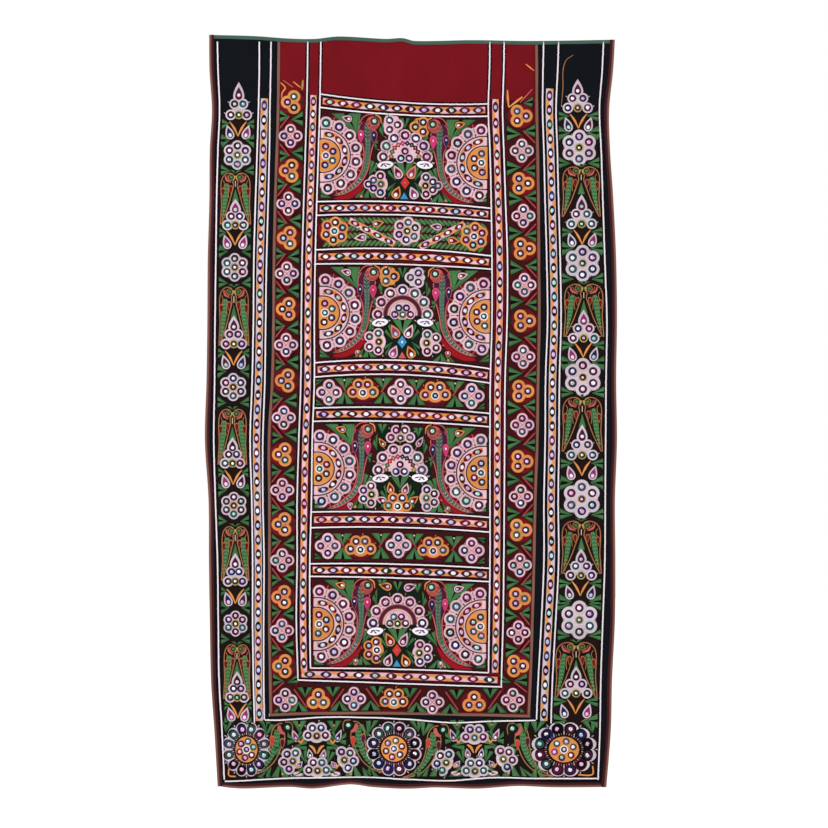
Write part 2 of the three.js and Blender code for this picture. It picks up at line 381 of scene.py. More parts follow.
# The four panels: side edges by height, level edges by place across, grid, cloth and flat size in metres.
inset = hanging["clothInset"]
seam = hanging["seamInset"]
overlap = hanging["footOverlap"]
panels = {
    "centre_panel": {
        "left": sideEdge("leftSeam", seam), "right": sideEdge("rightSeam", -seam),
        "upper": levelEdge("top", -inset), "lower": levelEdge("footSeam", seam),
        "grid": (72, 180), "cloth": "redCloth", "flat": (0.64, 1.66),
    },
    "border_left": {
        "left": sideEdge("leftEdge", inset), "right": sideEdge("leftSeam", -seam),
        "upper": levelEdge("top", -inset), "lower": levelEdge("hem", inset),
        "grid": (18, 190), "cloth": "blackCloth", "flat": (0.155, 1.84),
    },
    "border_right": {
        "left": sideEdge("rightSeam", seam), "right": sideEdge("rightEdge", -inset),
        "upper": levelEdge("top", -inset), "lower": levelEdge("hem", inset),
        "grid": (22, 190), "cloth": "blackCloth", "flat": (0.19, 1.83),
    },
    "border_foot": {
        "left": sideEdge("leftSeam", -overlap), "right": sideEdge("rightSeam", overlap),
        "upper": levelEdge("footSeam", -seam), "lower": levelEdge("hem", inset),
        "grid": (80, 22), "cloth": "blackCloth", "flat": (0.64, 0.175),
    },
}


# A panel is a grid between its four edges: u runs between the side edges and v between the level ones, and
# a few rounds settle x and z, which depend on each other.
def panelGrid(panel):
    columns, rows = panel["grid"]
    u, v = np.meshgrid(np.linspace(0, 1, columns + 1), np.linspace(0, 1, rows + 1))
    z = -v * hanging["length"]
    for _ in range(4):
        x = panel["left"](z) * (1 - u) + panel["right"](z) * u
        z = panel["upper"](x) * (1 - v) + panel["lower"](x) * v
    x = panel["left"](z) * (1 - u) + panel["right"](z) * u
    return x, z


for name, panel in panels.items():
    x, z = panelGrid(panel)
    middle = drape(x, z)
    half = hanging["cloth"] / 2
    front = np.stack([x, middle - half, z], -1)
    back = np.stack([x, middle + half, z], -1)
    makeSheet(name, front, back, panel["cloth"], np.stack([x, z], -1) / 100)
print("panels laid")

# Folded strips round the outer edges; the corner is the room that a level strip leaves for a side strip.
binding = {"side": 12.0, "top": 9.0, "outside": 2.2, "fold": 0.9, "corner": 12.3}


# Section of a folded strip as (inward, depth) pairs: a front leg, a round turn over the edge, a back leg.
def foldSection(width, half):
    leg = np.linspace(width, half, 6)
    turn = np.linspace(np.pi / 2, -np.pi / 2, 9)[1:-1]
    inward = np.concatenate([leg, half * (1 - np.cos(turn)), leg[::-1]])
    depth = np.concatenate([np.full(6, -half), -half * np.sin(turn), np.full(6, half)])
    return inward, depth


# A grid of places along an edge, each row off it by the distances in its row.
def beside(along, edge, off, level):
    s = np.repeat(along[:, None], off.shape[1], 1)
    return (s, edge(s) + off) if level else (edge(s) + off, s)


# A strip folded round an edge: the section is carried along it, and the inner face is the same section, a
# fold further in.
def bindEdge(node, plan):
    along, width = plan["run"], plan["width"]
    outer = foldSection(width, binding["outside"])
    inner = foldSection(width, binding["outside"] - binding["fold"])
    inner = (inner[0] + binding["fold"] * (inner[0] < binding["outside"]), inner[1])
    uneven = 0.35 * np.sin(along / 37.0) + 0.25 * np.sin(along / 13.0 + 1.0)
    faces = []
    for inward, depth in (outer, inner):
        reach = inward[None, :] * (1 + 0.06 * uneven[:, None] * (inward[None, :] > width * 0.4))
        x, z = beside(along, plan["edge"], plan["inward"] * reach, plan["level"])
        faces.append(np.stack([x, drape(x, z) + depth[None, :], z], -1))
    # Across the section the UV starts at the inner end of the front leg, where the brown cloth paints its
    # shade.
    share = np.linspace(0, 1, len(outer[0]))
    uv = np.stack(np.meshgrid(share, along / 100)[::-1], -1)
    return makeSheet(node, *faces, plan["cloth"], uv)


# Where the bindings run: the side ones from the top edge to the hem, the others between the side ones.
corner = binding["corner"]
sideRun = np.linspace(0, 1, 205)
leftRun = edgeAt["top"](-495) + (edgeAt["hem"](-476) - edgeAt["top"](-495)) * sideRun
rightRun = edgeAt["top"](496) + (edgeAt["hem"](476) - edgeAt["top"](496)) * sideRun
bindings = {
    "binding_left": {
        "run": leftRun, "edge": sideEdge("leftEdge"), "level": False, "inward": 1,
        "width": binding["side"], "cloth": "brownCloth", "flat": (0.03, 1.84),
    },
    "binding_right": {
        "run": rightRun, "edge": sideEdge("rightEdge"), "level": False, "inward": -1,
        "width": binding["side"], "cloth": "brownCloth", "flat": (0.03, 1.83),
    },
    "binding_top": {
        "run": np.linspace(-496 + corner, 499 - corner, 150), "edge": edgeAt["top"],
        "level": True, "inward": -1,
        "width": binding["top"], "cloth": "greenCloth", "flat": (0.0215, 0.97),
    },
    "binding_foot": {
        "run": np.linspace(-474.5 + corner, 477 - corner, 145), "edge": edgeAt["hem"],
        "level": True, "inward": 1,
        "width": binding["side"], "cloth": "brownCloth", "flat": (0.0275, 0.93),
    },
}
for node, plan in bindings.items():
    piece = bindEdge(node, plan)

piping = {
    "half": 4.0,            # half its width across the seam
    "rise": 1.7,
    "below": 9.4,           # from the top edge to the upper ends of the side pipings
    "above": 3.8,           # from the foot seam to their lower ends
}


# Piping is a flat bead in a seam: a front and a back bow between the same two side edges.
def pipe(node, along, edge, level, side):
    across = np.linspace(-1, 1, 9)
    bow = np.sqrt(np.clip(1 - across ** 4, 0, 1))
    off = side * across[None, :] * piping["half"] * (1 + 0.05 * np.sin(along / 17.0))[:, None]
    x, z = beside(along, edge, off, level)
    middle = drape(x, z)
    rise = piping["rise"] * (0.12 + 0.88 * bow)[None, :]
    front = np.stack([x, middle - rise, z], -1)
    back = np.stack([x, middle + rise, z], -1)
    # The UV across starts at 0.08, so the brown cloth paints shade along one side of the piping.
    uv = np.stack(np.meshgrid(np.linspace(0.08, 1, 9), along / 100)[::-1], -1)
    return makeSheet(node, front, back, "brownCloth", uv)


for node, name, upper, lower, side in (("piping_left", "leftSeam", -325, -345, 1),
                                       ("piping_right", "rightSeam", 306, 287, -1)):
    start = edgeAt["top"](upper) - piping["below"]
    end = edgeAt["footSeam"](lower) + piping["above"]
    pipe(node, np.linspace(start, end, 210), sideEdge(name), False, side)
pipe("piping_foot", np.linspace(-348.0, 290.9, 100), edgeAt["footSeam"], True, 1)
print("bindings and piping sewn on")

# Thread colours as they look in daylight, sRGB 0 to 255; the garnet ground is partly painted shade for the
# gaps between the motifs.
threads = {
    "white": (246, 233, 240), "lilac": (208, 191, 201), "pink": (226, 186, 196), "orange": (220, 142, 74),
    "green": (74, 122, 74), "sage": (110, 150, 114), "pine": (18, 50, 31), "moss": (17, 30, 20),
    "navy": (36, 32, 78), "plum": (80, 24, 56), "magenta": (146, 44, 106), "rose": (206, 50, 114),
    "teal": (40, 80, 80), "wine": (58, 13, 28), "gold": (176, 150, 78), "salmon": (196, 94, 88),
    "tan": (166, 112, 72), "sky": (62, 148, 198), "slate": (74, 92, 88), "red": (204, 56, 54),
    "crimson": (150, 20, 30), "maroon": (106, 16, 26), "black": (13, 8, 11), "soot": (27, 15, 15),
    "clay": (158, 84, 82), "cream": (210, 196, 174), "garnet": (60, 16, 19),
}
glassTints = {
    "clear": (230, 226, 234), "blue": (186, 193, 224), "rose": (224, 172, 208), "mint": (172, 207, 199),
}
stitch = {
    "sink": 0.3,            # depth of a stitch's foot in the cloth
    "ring": 9.6,            # radius of the thread ring round a mirror, and of its glass
    "glass": 5.8,
    "petal": 14.6,          # radius of a round petal, and the width of the black rim round it
    "edge": 1.7,
    "step": 6.5,            # between the sections of a stroke
}
spools = {}         # parts of the mesh of each colour
bags = {}           # places of each unit and colour
reverse = []        # dashes on the back
mirrors = []
upward = np.pi / 2


# Keeps a part for the mesh of its colour.
def wind(colour, points, faces, uv, tone):
    spools.setdefault(colour, []).append((points, faces, uv, tone))


# A raised pad: the outline drawn in towards its middle in rings that rise, closed below by a middle point.
# A wide pad has rings of no height after its rim, so that its underside follows the cloth too.
def domeUnit(outline, rings, heights):
    plan = np.array(outline, float)
    sides = len(plan)
    points = [np.zeros((1, 2))] + [plan * r for r in rings] + [np.zeros((1, 2))]
    rise = np.concatenate([[1.0]] + [np.full(sides, h) for h in heights] + [[0.0]])
    step = np.arange(sides)
    ahead = (step + 1) % sides
    faces = [np.stack([np.zeros(sides, int), 1 + step, 1 + ahead], -1)]
    for ring in range(len(rings) - 1):
        a = 1 + ring * sides
        b = a + sides
        faces.append(np.stack([a + step, b + step, b + ahead], -1))
        faces.append(np.stack([a + step, b + ahead, a + ahead], -1))
    last = 1 + (len(rings) - 1) * sides
    bottom = last + sides
    faces.append(np.stack([np.full(sides, bottom), last + ahead, last + step], -1))
    share = np.concatenate([[0.0]] + [np.full(sides, r) for r in rings] + [[0.0]])
    return {"plan": np.concatenate(points), "rise": rise, "faces": np.concatenate(faces), "share": share}


# A thread ring round a mirror: a low arch carried round a circle, from the glass to the outer edge.
def ringUnit(sectors):
    radii = np.array([0.55, 0.62, 0.93, 1.0])
    rises = np.array([0.0, 1.0, 0.95, 0.0])
    turn = np.linspace(0, 2 * np.pi, sectors, endpoint=False)
    plan = np.stack([np.cos(turn)[:, None] * radii, np.sin(turn)[:, None] * radii], -1).reshape(-1, 2)
    i, j = np.meshgrid(np.arange(sectors), np.arange(4), indexing="ij")
    a = i * 4 + j
    b = i * 4 + (j + 1) % 4
    c = (i + 1) % sectors * 4 + (j + 1) % 4
    d = (i + 1) % sectors * 4 + j
    faces = np.stack([a, b, c, a, c, d], -1).reshape(-1, 3)
    return {"plan": plan, "rise": np.tile(rises, sectors), "faces": faces, "share": np.tile(radii, sectors)}


# Places at equal turns round a circle of radius 1.
def circle(sides):
    turn = np.linspace(0, 2 * np.pi, sides, endpoint=False)
    return np.stack([np.cos(turn), np.sin(turn)], -1)


# A drop hangs from a point: its half width is sin(t) times sin(t/2), which closes to a tip at the top.
def dropOutline(sides):
    t = np.linspace(0, 2 * np.pi, sides, endpoint=False)
    return np.stack([-np.sin(t) * np.sin(t / 2) ** 1.2 * 1.25, np.cos(t)], -1)


# A lens is two arcs that meet in points at its ends, here along the local x axis.
def lensOutline(sides):
    t = np.linspace(0, 2 * np.pi, sides, endpoint=False)
    return np.stack([np.cos(t), np.sign(np.sin(t)) * np.abs(np.sin(t)) ** 1.2], -1)


plateRings = (0.22, 0.45, 0.7, 0.94, 1.0, 0.7, 0.35)
units = {
    "disc": domeUnit(circle(16), (0.92, 1.0), (0.9, 0.0)),
    "base": domeUnit(circle(11), (0.93, 1.0), (0.95, 0.0)),
    "plate": domeUnit(circle(24), plateRings, (1.0, 1.0, 1.0, 0.93, 0.0, 0.0, 0.0)),
    "drop": domeUnit(dropOutline(16), (0.9, 1.0), (0.9, 0.0)),
    "lens": domeUnit(lensOutline(14), (0.88, 1.0), (0.92, 0.0)),
    "diamond": domeUnit(circle(4), (0.85, 1.0), (0.95, 0.0)),
    "grain": domeUnit(circle(5), (1.0,), (0.0,)),
    "chip": domeUnit(circle(5), (0.86, 1.0), (0.95, 0.0)),
    "ring": ringUnit(12),
}


# Notes a place for a unit: its half width and half height, its turn, and its rise above the cloth.
def put(unit, colour, x, z, width, height=None, turn=0.0, rise=1.0):
    bags.setdefault((unit, colour), []).append((x, z, width, height or width, turn, rise))


# Lays one unit at every row of a bag: scaled, turned, moved, and raised from the cloth.
def layUnit(unit, rows):
    x, z, width, height, turn, rise = np.array(rows, float).T[:, :, None]
    a = unit["plan"][None, :, 0] * width
    b = unit["plan"][None, :, 1] * height
    px = x + a * np.cos(turn) - b * np.sin(turn)
    pz = z + a * np.sin(turn) + b * np.cos(turn)
    lift = unit["rise"][None, :] * (rise + stitch["sink"]) - stitch["sink"]
    points = np.stack([px, frontOf(px, pz) - lift, pz], -1)
    count, size = px.shape
    faces = (unit["faces"][None] + (np.arange(count) * size)[:, None, None]).reshape(-1, 3)
    reach = unit["share"][None, :] * np.minimum(width, height)
    uv = np.stack([0 * reach, reach], -1).reshape(-1, 2)
    tone = np.repeat(chance.uniform(0.1, 0.55, count), size)
    return points.reshape(-1, 3), faces, uv, tone


# Distance along a path to each of its points: the lengths of its steps, summed.
def lengthAlong(path):
    return np.concatenate([[0], np.cumsum(np.hypot(*np.diff(path[:, :2], axis=0).T))])


# A smooth path through a few points, by distance along it; more columns, such as a width, are carried along.
def smoothPath(points, step=4.6):
    points = np.array(points, float)
    along = lengthAlong(points)
    s = np.linspace(0, along[-1], max(2, int(round(along[-1] / step)) + 1))
    return np.stack([smoothCurve(along, column)(s) for column in points.T], 1)


# The place at a distance and an angle from a middle.
def polar(x, z, distance, angle):
    return x + distance * np.cos(angle), z + distance * np.sin(angle)


# Places across and up from a middle, mirrored where the sign is -1.
def mirrored(x, z, sign, *places):
    return [(x + sign * across, z + up) for across, up in places]


# A round path between two angles in degrees.
def arc(x, z, radius, start, end, step=5.0):
    count = max(3, int(abs(np.radians(end - start)) * radius / step) + 1)
    return np.stack(polar(x, z, radius, np.radians(np.linspace(start, end, count))), 1)


# The unit vectors along a path and to its left.
def waysAlong(path):
    ahead = np.gradient(path, axis=0)
    ahead /= np.maximum(np.hypot(ahead[:, 0], ahead[:, 1]), 1e-9)[:, None]
    return ahead, np.stack([-ahead[:, 1], ahead[:, 0]], 1)


# A band of stitches along a path: an arched section, closed below, as wide as given at each point.
def band(colour, path, width, rise=1.0):
    path = np.asarray(path, float)
    count = len(path)
    width = np.interp(np.linspace(0, 1, count), np.linspace(0, 1, np.size(width)), np.atleast_1d(width))
    left = waysAlong(path)[1]
    shoulder = np.maximum(0.55, 1 - 2.4 / np.maximum(width, 1.0))
    share = np.stack([-np.ones(count), -shoulder, np.zeros(count), shoulder, np.ones(count)], 1)
    height = np.array([0.0, 0.88, 1.0, 0.88, 0.0])
    plan = path[:, None, :] + left[:, None, :] * (share * width[:, None] / 2)[:, :, None]
    x, z = plan[..., 0], plan[..., 1]
    lift = height[None, :] * (rise + stitch["sink"]) - stitch["sink"] + 0 * width[:, None]
    points = np.stack([x, frontOf(x, z) - lift, z], -1).reshape(-1, 3)
    i, j = np.meshgrid(np.arange(count - 1), np.arange(5), indexing="ij")
    a = i * 5 + j
    b = a + 5
    c = (i + 1) * 5 + (j + 1) % 5
    d = i * 5 + (j + 1) % 5
    faces = np.stack([a, b, c, a, c, d], -1).reshape(-1, 3)
    cap = np.array([(0, 1, 2), (0, 2, 3), (0, 3, 4)])
    faces = np.concatenate([faces, cap, cap[:, ::-1] + (count - 1) * 5])
    uv = np.stack([np.repeat(lengthAlong(path), 5), (np.abs(share) * width[:, None] / 2).ravel()], -1)
    wind(colour, points, faces, uv, np.full(len(points), chance.uniform(0.15, 0.5)))


# A band along a smooth path, over a wider black one where it has an edge.
def stroke(colour, points, width, rise=1.0, edge=0.0):
    path = smoothPath(points, stitch["step"])
    if edge:
        band("black", path, np.atleast_1d(width) + 2 * edge, 0.55)
    band(colour, path, width, rise)


whiteLine = {"colour": "white", "width": 4.5, "pitch": 4.9, "under": 11.6, "dash": (4.6, 1.1), "slant": 0.42}


# A white line: two rows of slanted stitches side by side, over a wider black line; its reverse is a row of
# dashes.
def braid(path):
    colour, width, pitch = whiteLine["colour"], whiteLine["width"], whiteLine["pitch"]
    along = lengthAlong(path)
    band("black", path, whiteLine["under"], 0.6)
    band(colour, path, width * 0.92, 1.35)
    s = np.arange(pitch / 2, along[-1], pitch)
    x, z = (np.interp(s, along, column) for column in path.T)
    aheadX, aheadZ = (np.interp(s + 2, along, column) - np.interp(s - 2, along, column) for column in path.T)
    heading = np.arctan2(aheadZ, aheadX)
    wobble = 0.25 * chance.standard_normal(len(s))
    same = np.ones(len(s))
    long, wide = whiteLine["dash"]
    dashes = np.stack([x, z, same * long, same * wide, heading, same * 0.5], 1)
    reverse.extend(map(tuple, dashes[::3]))
    for side in (-1, 1):
        off = side * width * 0.23 + wobble
        rows = np.stack([x - np.sin(heading) * off, z + np.cos(heading) * off, same * (pitch * 0.72),
                         same * (width * 0.3), heading - side * whiteLine["slant"], same * 1.75], 1)
        bags.setdefault(("grain", colour), []).extend(map(tuple, rows))


# One of the names by seeded chance.
def anyOf(*names):
    return names[int(chance.integers(len(names)))]


# Notes a mirror's glass: its two half sizes, its turn, its tint by chance where none is given, and its rise.
def glass(x, z, width, height=None, turn=0.0, tint=None, rise=1.7):
    tint = tint or anyOf("clear", "clear", "clear", "blue", "rose", "rose", "mint")
    mirrors.append((tint, (x, z, width, height or width, turn, rise)))


# A mirror in a thread ring, of a dark colour by chance where none is given.
def mirror(x, z, ring=None, size=1.0):
    ring = ring or anyOf("wine", "plum", "plum", "navy", "navy", "teal")
    put("ring", ring, x, z, stitch["ring"] * size, rise=2.3)
    glass(x, z, stitch["glass"] * size)


# A mirror in the middle of a flower: its dark ring stands inside a thin ring of another colour.
def ringedMirror(x, z, colour, dark=None):
    put("ring", colour, x, z, 11.0, rise=2.0)
    put("ring", dark or anyOf("pine", "navy", "black", "teal"), x, z, 8.2, rise=2.5)
    glass(x, z, 5.0, rise=1.9)


# A round petal with a black rim and a mirror in its middle.
def petal(x, z, colour, radius=stitch["petal"], size=1.0):
    put("base", "black", x, z, radius + stitch["edge"], rise=0.6)
    put("disc", colour, x, z, radius, rise=1.15)
    mirror(x, z, None, size)


# Places and angles at equal turns round a middle.
def spokes(x, z, count, distance, turn=0.0):
    angle = turn + np.arange(count) * 2 * np.pi / count
    return list(zip(*polar(x, z, distance, angle), angle))


# A flower of mirror petals round a middle, with small spikes in the notches between them.
def flower(x, z, count, distance, colour, turn=0.0, centre=None, radius=stitch["petal"], size=1.0):
    for px, pz, _ in spokes(x, z, count, distance, turn):
        petal(px, pz, colour, radius, size)
    put("disc", colour, x, z, distance * 0.8, rise=1.0)
    reach = distance * np.cos(np.pi / count) + radius * 0.66
    for px, pz, angle in spokes(x, z, count, reach, turn + np.pi / count):
        put("grain", colour, px, pz, 5.4, 1.7, angle, 1.1)
    if centre:
        ringedMirror(x, z, centre)


# A fan: four mirror petals over a half turn about a ringed middle mirror, the two at the front at their own
# share of the distance; a long fan has a fifth petal at its tip.
def fan(x, z, colour, turn=upward, distance=21.0, centre="gold", radius=13.8, tip=0.0, front=1.05, core=24):
    put("plate", "black", *polar(x, z, 6, turn), core + 3, rise=0.6)
    put("plate", colour, *polar(x, z, 6, turn), core, rise=0.95)
    if tip:
        petal(*polar(x, z, tip, turn), colour, radius * 0.9)
        put("disc", colour, *polar(x, z, 0.7 * tip, turn), 15, rise=1.1)
    for share, reach in ((-1, 1.0), (-0.33, front), (0.33, front), (1, 1.0)):
        angle = turn + share * 1.5
        away = distance * (1.0 if tip else reach)
        petal(*polar(x, z, away, angle), colour, radius)
        put("grain", colour, *polar(x, z, away + 15, angle + 0.35), 5, 1.7, angle, 1.1)
    ringedMirror(x, z, centre)


# A drop with a mirror in its round end; turn 0 has the tip up, and over is the height of what lies under it.
def drop(x, z, width, height, colour, inner, turn=0.0, over=0.0):
    def below(share):
        return x + share * height * np.sin(turn), z - share * height * np.cos(turn)

    put("drop", "black", x, z, width / 2 + 2.2, height / 2 + 2.6, turn, 0.6 + over)
    put("drop", colour, x, z, width / 2, height / 2, turn, 1.1 + over)
    put("drop", inner, *below(0.05), width * 0.34, height * 0.37, turn, 1.5 + over)
    glass(*below(0.2), width * 0.18, width * 0.22, turn, rise=1.9 + over)


# A small round knot.
def dot(x, z, colour="orange", radius=3.4):
    put("base", colour, x, z, radius, rise=1.3)


# Colours of the lens eyes on a warm band and on a lilac one.
warmEyes = ("maroon", "wine", "maroon", "plum", "navy", "maroon", "wine", "pine")
darkEyes = ("wine", "navy", "black", "pine", "plum", "navy", "black", "wine")


# A row of lens eyes on a filled band: one strand of thread changes sides under each eye as a steep cosine
# wave, so between two eyes each half of the band has its own colour.
def lensBand(path, count, half, eye, strands, seed):
    along = lengthAlong(path)
    pitch = along[-1] / count
    s = np.linspace(0, along[-1], count * 10 + 1)
    x, z = (np.interp(s, along, column) for column in path.T)
    heading = np.arctan2(np.gradient(z), np.gradient(x))
    band("black", path, 2 * half + 6.5, 0.55)
    if "pink" in strands:
        band("maroon", path, 2 * half + 3.2, 0.8)
    band(strands[1], path, 2 * half, 0.95)
    swing = np.cos(np.pi * s / pitch)
    off = half * 0.48 * np.sign(swing) * np.abs(swing) ** 0.45
    middle = np.stack([x - np.sin(heading) * off, z + np.cos(heading) * off], 1)
    band(strands[0], middle, half * (0.95 if strands[0] == "orange" else 1.14), 1.15)
    colours = darkEyes if "lilac" in strands else warmEyes
    for k, spot in enumerate((np.arange(count) + 0.5) * pitch):
        px, pz, turn = (np.interp(spot, s, v) for v in (x, z, heading))
        put("lens", colours[(k * 5 + seed + k // 7) % 8], px, pz, *eye, turn, 1.7)
        glass(px, pz, eye[1] * 0.8, eye[1] * 0.62, turn, rise=2.0)


pad = {"rimStep": 11, "ringStep": 9, "wide": 30}      # a pad wider than this also follows the cloth below


# A pad with the given corners, its edges drawn in from their middle point; grow moves the corners outwards.
def patch(colour, corners, rise=1.0, grow=0.0):
    corners = np.array(corners, float)
    middle = corners.mean(0)
    if np.sum(np.cross(corners - middle, np.roll(corners, -1, 0) - middle)) < 0:
        corners = corners[::-1]
    sides = []
    for a, b in zip(corners, np.roll(corners, -1, 0)):
        steps = max(1, int(np.hypot(*(b - a)) / pad["rimStep"]))
        sides.append(a + (b - a) * np.linspace(0, 1, steps, endpoint=False)[:, None])
    reach = float(np.mean(np.hypot(*(corners - middle).T)))
    inside = list(np.linspace(0, 0.92, 2 + int(reach / pad["ringStep"]))[1:])
    under = inside[-2::-2] if reach > pad["wide"] else []
    heights = [1.0] * (len(inside) - 1) + [0.95, 0.0] + [0.0] * len(under)
    unit = domeUnit((np.concatenate(sides) - middle) / reach, inside + [1.0] + under, heights)
    size = reach + grow * 1.5
    wind(colour, *layUnit(unit, [(*middle, size, size, 0.0, rise)]))


# Two green leaves that part from a tip to the ends of a base: an outlined triangle with a dark notch in it.
def leaves(a, b, tip, notch=0.32):
    a, b, tip = (np.array(p, float) for p in (a, b, tip))
    middle = (a + b) / 2
    patch("black", [a, b, tip], 0.6, 2.0)
    patch("green", [a, b, tip], 1.0)
    side = (b - a) * notch / 2
    patch("black", [middle - side, middle + side, middle + (tip - middle) * 0.8], 1.2)
    for end in (a, b):
        band("pine", np.stack([end * 0.84 + middle * 0.16, tip * 0.84 + middle * 0.16]), 1.5, 1.15)


# A field of close stitches over a grid of places, a thin closed layer that sinks into the cloth at its rim.
def fieldPad(colour, left, right, upper, lower, columns, rows, rise=0.3):
    u, v = np.meshgrid(np.linspace(0, 1, columns + 1), np.linspace(0, 1, rows + 1))
    z = upper(0.0) * (1 - v) + lower(0.0) * v
    for _ in range(3):
        x = left(z) * (1 - u) + right(z) * u
        z = upper(x) * (1 - v) + lower(x) * v
    lift = np.full(x.shape, rise)
    lift[[0, -1], :] = -0.1
    lift[:, [0, -1]] = -0.1
    front = np.stack([x, frontOf(x, z) - lift, z], -1)
    points, faces = sheetFaces(front, front + (0, 0.5, 0) + np.stack([0 * lift, lift, 0 * lift], -1))
    faces = np.concatenate([faces[:, [0, 1, 2]], faces[:, [0, 2, 3]]])
    wind(colour, points, faces, points[:, [0, 2]], np.full(len(points), 0.3))


# The path of a named line down the hanging, and of a line across it.
def sideLine(name, upper, lower, count=130):
    z = np.linspace(upper, lower, count)
    return np.stack([at(name, z), z], 1)


def levelLine(line, start, end, count=55):
    x = np.linspace(start, end, count)
    return np.stack([x, line(x)], 1)


print("stitches ready")

lineTop = -9.0
panelFoot = levelAt[14]
fieldFoot = levelAt[15]
aboveSeam = levelEdge("footSeam", 5)
# Ground of close stitches under the motifs: dark red between the seams, brown black in the borders. The dark
# red is partly fill stitching and partly painted shade, darker than the cloth to darken the gaps between the
# motifs.
for upper in range(1, 14, 2):
    rows = 28 if upper % 4 == 1 else 10
    fieldPad("garnet", sideEdge("leftPanel", 4), sideEdge("rightPanel", -4), levelAt[upper],
             levelAt[upper + 1], 52, rows)
for side, start in (("left", -128), ("right", -150)):
    west, east = sorted((side + "Seam", side + "Field"), key=lambda name: at(name, 0))
    fieldPad("garnet", sideEdge(west, 4.3), sideEdge(east, -4.3), fixed(start), aboveSeam, 9, 170)
    west, east = sorted((side + "Rim", side + "Outer"), key=lambda name: at(name, 0))
    fieldPad("soot", sideEdge(west, 4), sideEdge(east, -4), fixed(-190), fixed(-1690), 11, 170)
fieldPad("garnet", sideEdge("leftField", -6), sideEdge("rightField", 6), fieldFoot, aboveSeam, 60, 8)
fieldPad("soot", sideEdge("leftRim", 4), sideEdge("rightRim", -4), fixed(-1688), edgeAt["hemLine"], 95, 15)
fieldPad("soot", sideEdge("leftInner"), sideEdge("rightInner"), edgeAt["footLine"], fixed(-1691), 70, 3)

# White lines down the sides and across the panel.
for side in ("left", "right"):
    for name, end in (("Rim", -1816), ("Outer", -1677), ("Inner", -1669),
                      ("Field", float(fieldFoot(at(side + "Field", -1580)))),
                      ("Panel", float(panelFoot(at(side + "Panel", -1548))))):
        braid(sideLine(side + name, lineTop, end))
braid(levelLine(edgeAt["footLine"], -359, 304, 90))
braid(levelLine(edgeAt["hemLine"], -457, 455, 90))
for row, line in enumerate(levelAt):
    height = float(line(0))
    name = "Field" if row == 15 else "Panel"
    braid(levelLine(line, at("left" + name, height), at("right" + name, height)))

# Lens bands between the lines: eight across the panel, and five down the sides.
warm = ("orange", "pink")
cool = ("orange", "lilac")
levelEyes = (12, 13, 12, 12, 12, 12, 13, 12)
sideBands = (
    {"lines": ("leftOuter", "leftInner"), "ends": (-148, -1672), "strands": cool,
     "eyes": 43, "half": 9.4, "eye": (14.6, 7.7)},
    {"lines": ("leftField", "leftPanel"), "ends": (-140, -420), "strands": warm,
     "eyes": 9, "half": 8.4, "eye": (12.8, 7.2)},
    {"lines": ("leftField", "leftPanel"), "ends": (-420, -1550), "strands": warm,
     "eyes": 29, "half": 8.4, "eye": (15.0, 7.5)},
    {"lines": ("rightField", "rightPanel"), "ends": (-150, -1554), "strands": warm,
     "eyes": 36, "half": 8.6, "eye": (15.0, 7.5)},
    {"lines": ("rightInner", "rightOuter"), "ends": (-124, -1672), "strands": cool,
     "eyes": 44, "half": 9.6, "eye": (14.6, 7.8)},
)
for row, count in enumerate(levelEyes):
    above, below = levelAt[2 * row], levelAt[2 * row + 1]
    height = float(above(0)) - 15
    wide = 22 if row == 7 else -8
    x = np.linspace(at("leftPanel", height) - wide, at("rightPanel", height) + wide, 50)
    middle = (above(x) + below(x)) / 2
    lensBand(np.stack([x, middle], 1), count, 8.6, (15.2, 8.2), warm if row % 2 else warm[::-1], row)
for plan in sideBands:
    z = np.linspace(*plan["ends"], plan["eyes"] * 3)
    middle = sum(at(name, z) for name in plan["lines"]) / 2
    lensBand(np.stack([middle, z], 1), plan["eyes"], plan["half"], plan["eye"], plan["strands"], 1)
print("lines and lens bands sewn")

# Side borders: trees of mirrors, a V with two drops, a rosette and a pair of parrots, over and over.
borders = {
    "left": {
        "room": 102.0,
        "trees": ((-108, -203), (-397, -473), (-681, -764), (-980, -1056), (-1262, -1345), (-1553, -1629)),
        "vees": ((-208, -247), (-475, -517), (-769, -811), (-1061, -1102), (-1352, -1389), (-1632, -1673)),
        "rosettes": (-287, -562, -855, -1145, -1434),
        "parrots": ((-331, -458), (-610, -755), (-909, -1046), (-1196, -1330), (-1485, -1619)),
    },
    "right": {
        "room": 93.0,
        "trees": ((-103, -186), (-385, -470), (-666, -750), (-946, -1036), (-1252, -1330), (-1539, -1619)),
        "vees": ((-189, -228), (-473, -510), (-750, -791), (-1039, -1083), (-1333, -1374), (-1622, -1666)),
        "rosettes": (-269, -552, -831, -1129, -1425),
        "parrots": ((-316, -439), (-603, -733), (-880, -1014), (-1183, -1313), (-1480, -1617)),
    },
}


# A tree of mirrors: two pairs of petals on a triangle, a drop at its tip, and a ringed mirror at its foot.
def mirrorTree(x, tip, foot, wide):
    low = foot + 14.5
    size = (tip - foot) / 76.0
    top = low + 42 * size
    patch("lilac", [(x, top), (x - 24 * wide, low), (x + 24 * wide, low)], 0.9)
    for z, place in ((low, 21 * wide), (low + 21.5 * size, 11 * wide)):
        for side in (-1, 1):
            petal(x + side * place, z, "lilac", 13.8)
            put("grain", "lilac", x + side * (place + 14), z + 4, 5.0, 1.7, 0.5 * side, 1.1)
    put("drop", "lilac", x, top + 3, 15.4, 21 * size, 0.0, 1.2)
    put("drop", anyOf("magenta", "plum", "plum", "wine"), x, top, 10.4, 14 * size, 0.0, 1.6)
    glass(x, top - 4, 4.6, rise=2.0)
    ringedMirror(x, low, "gold", "pine")


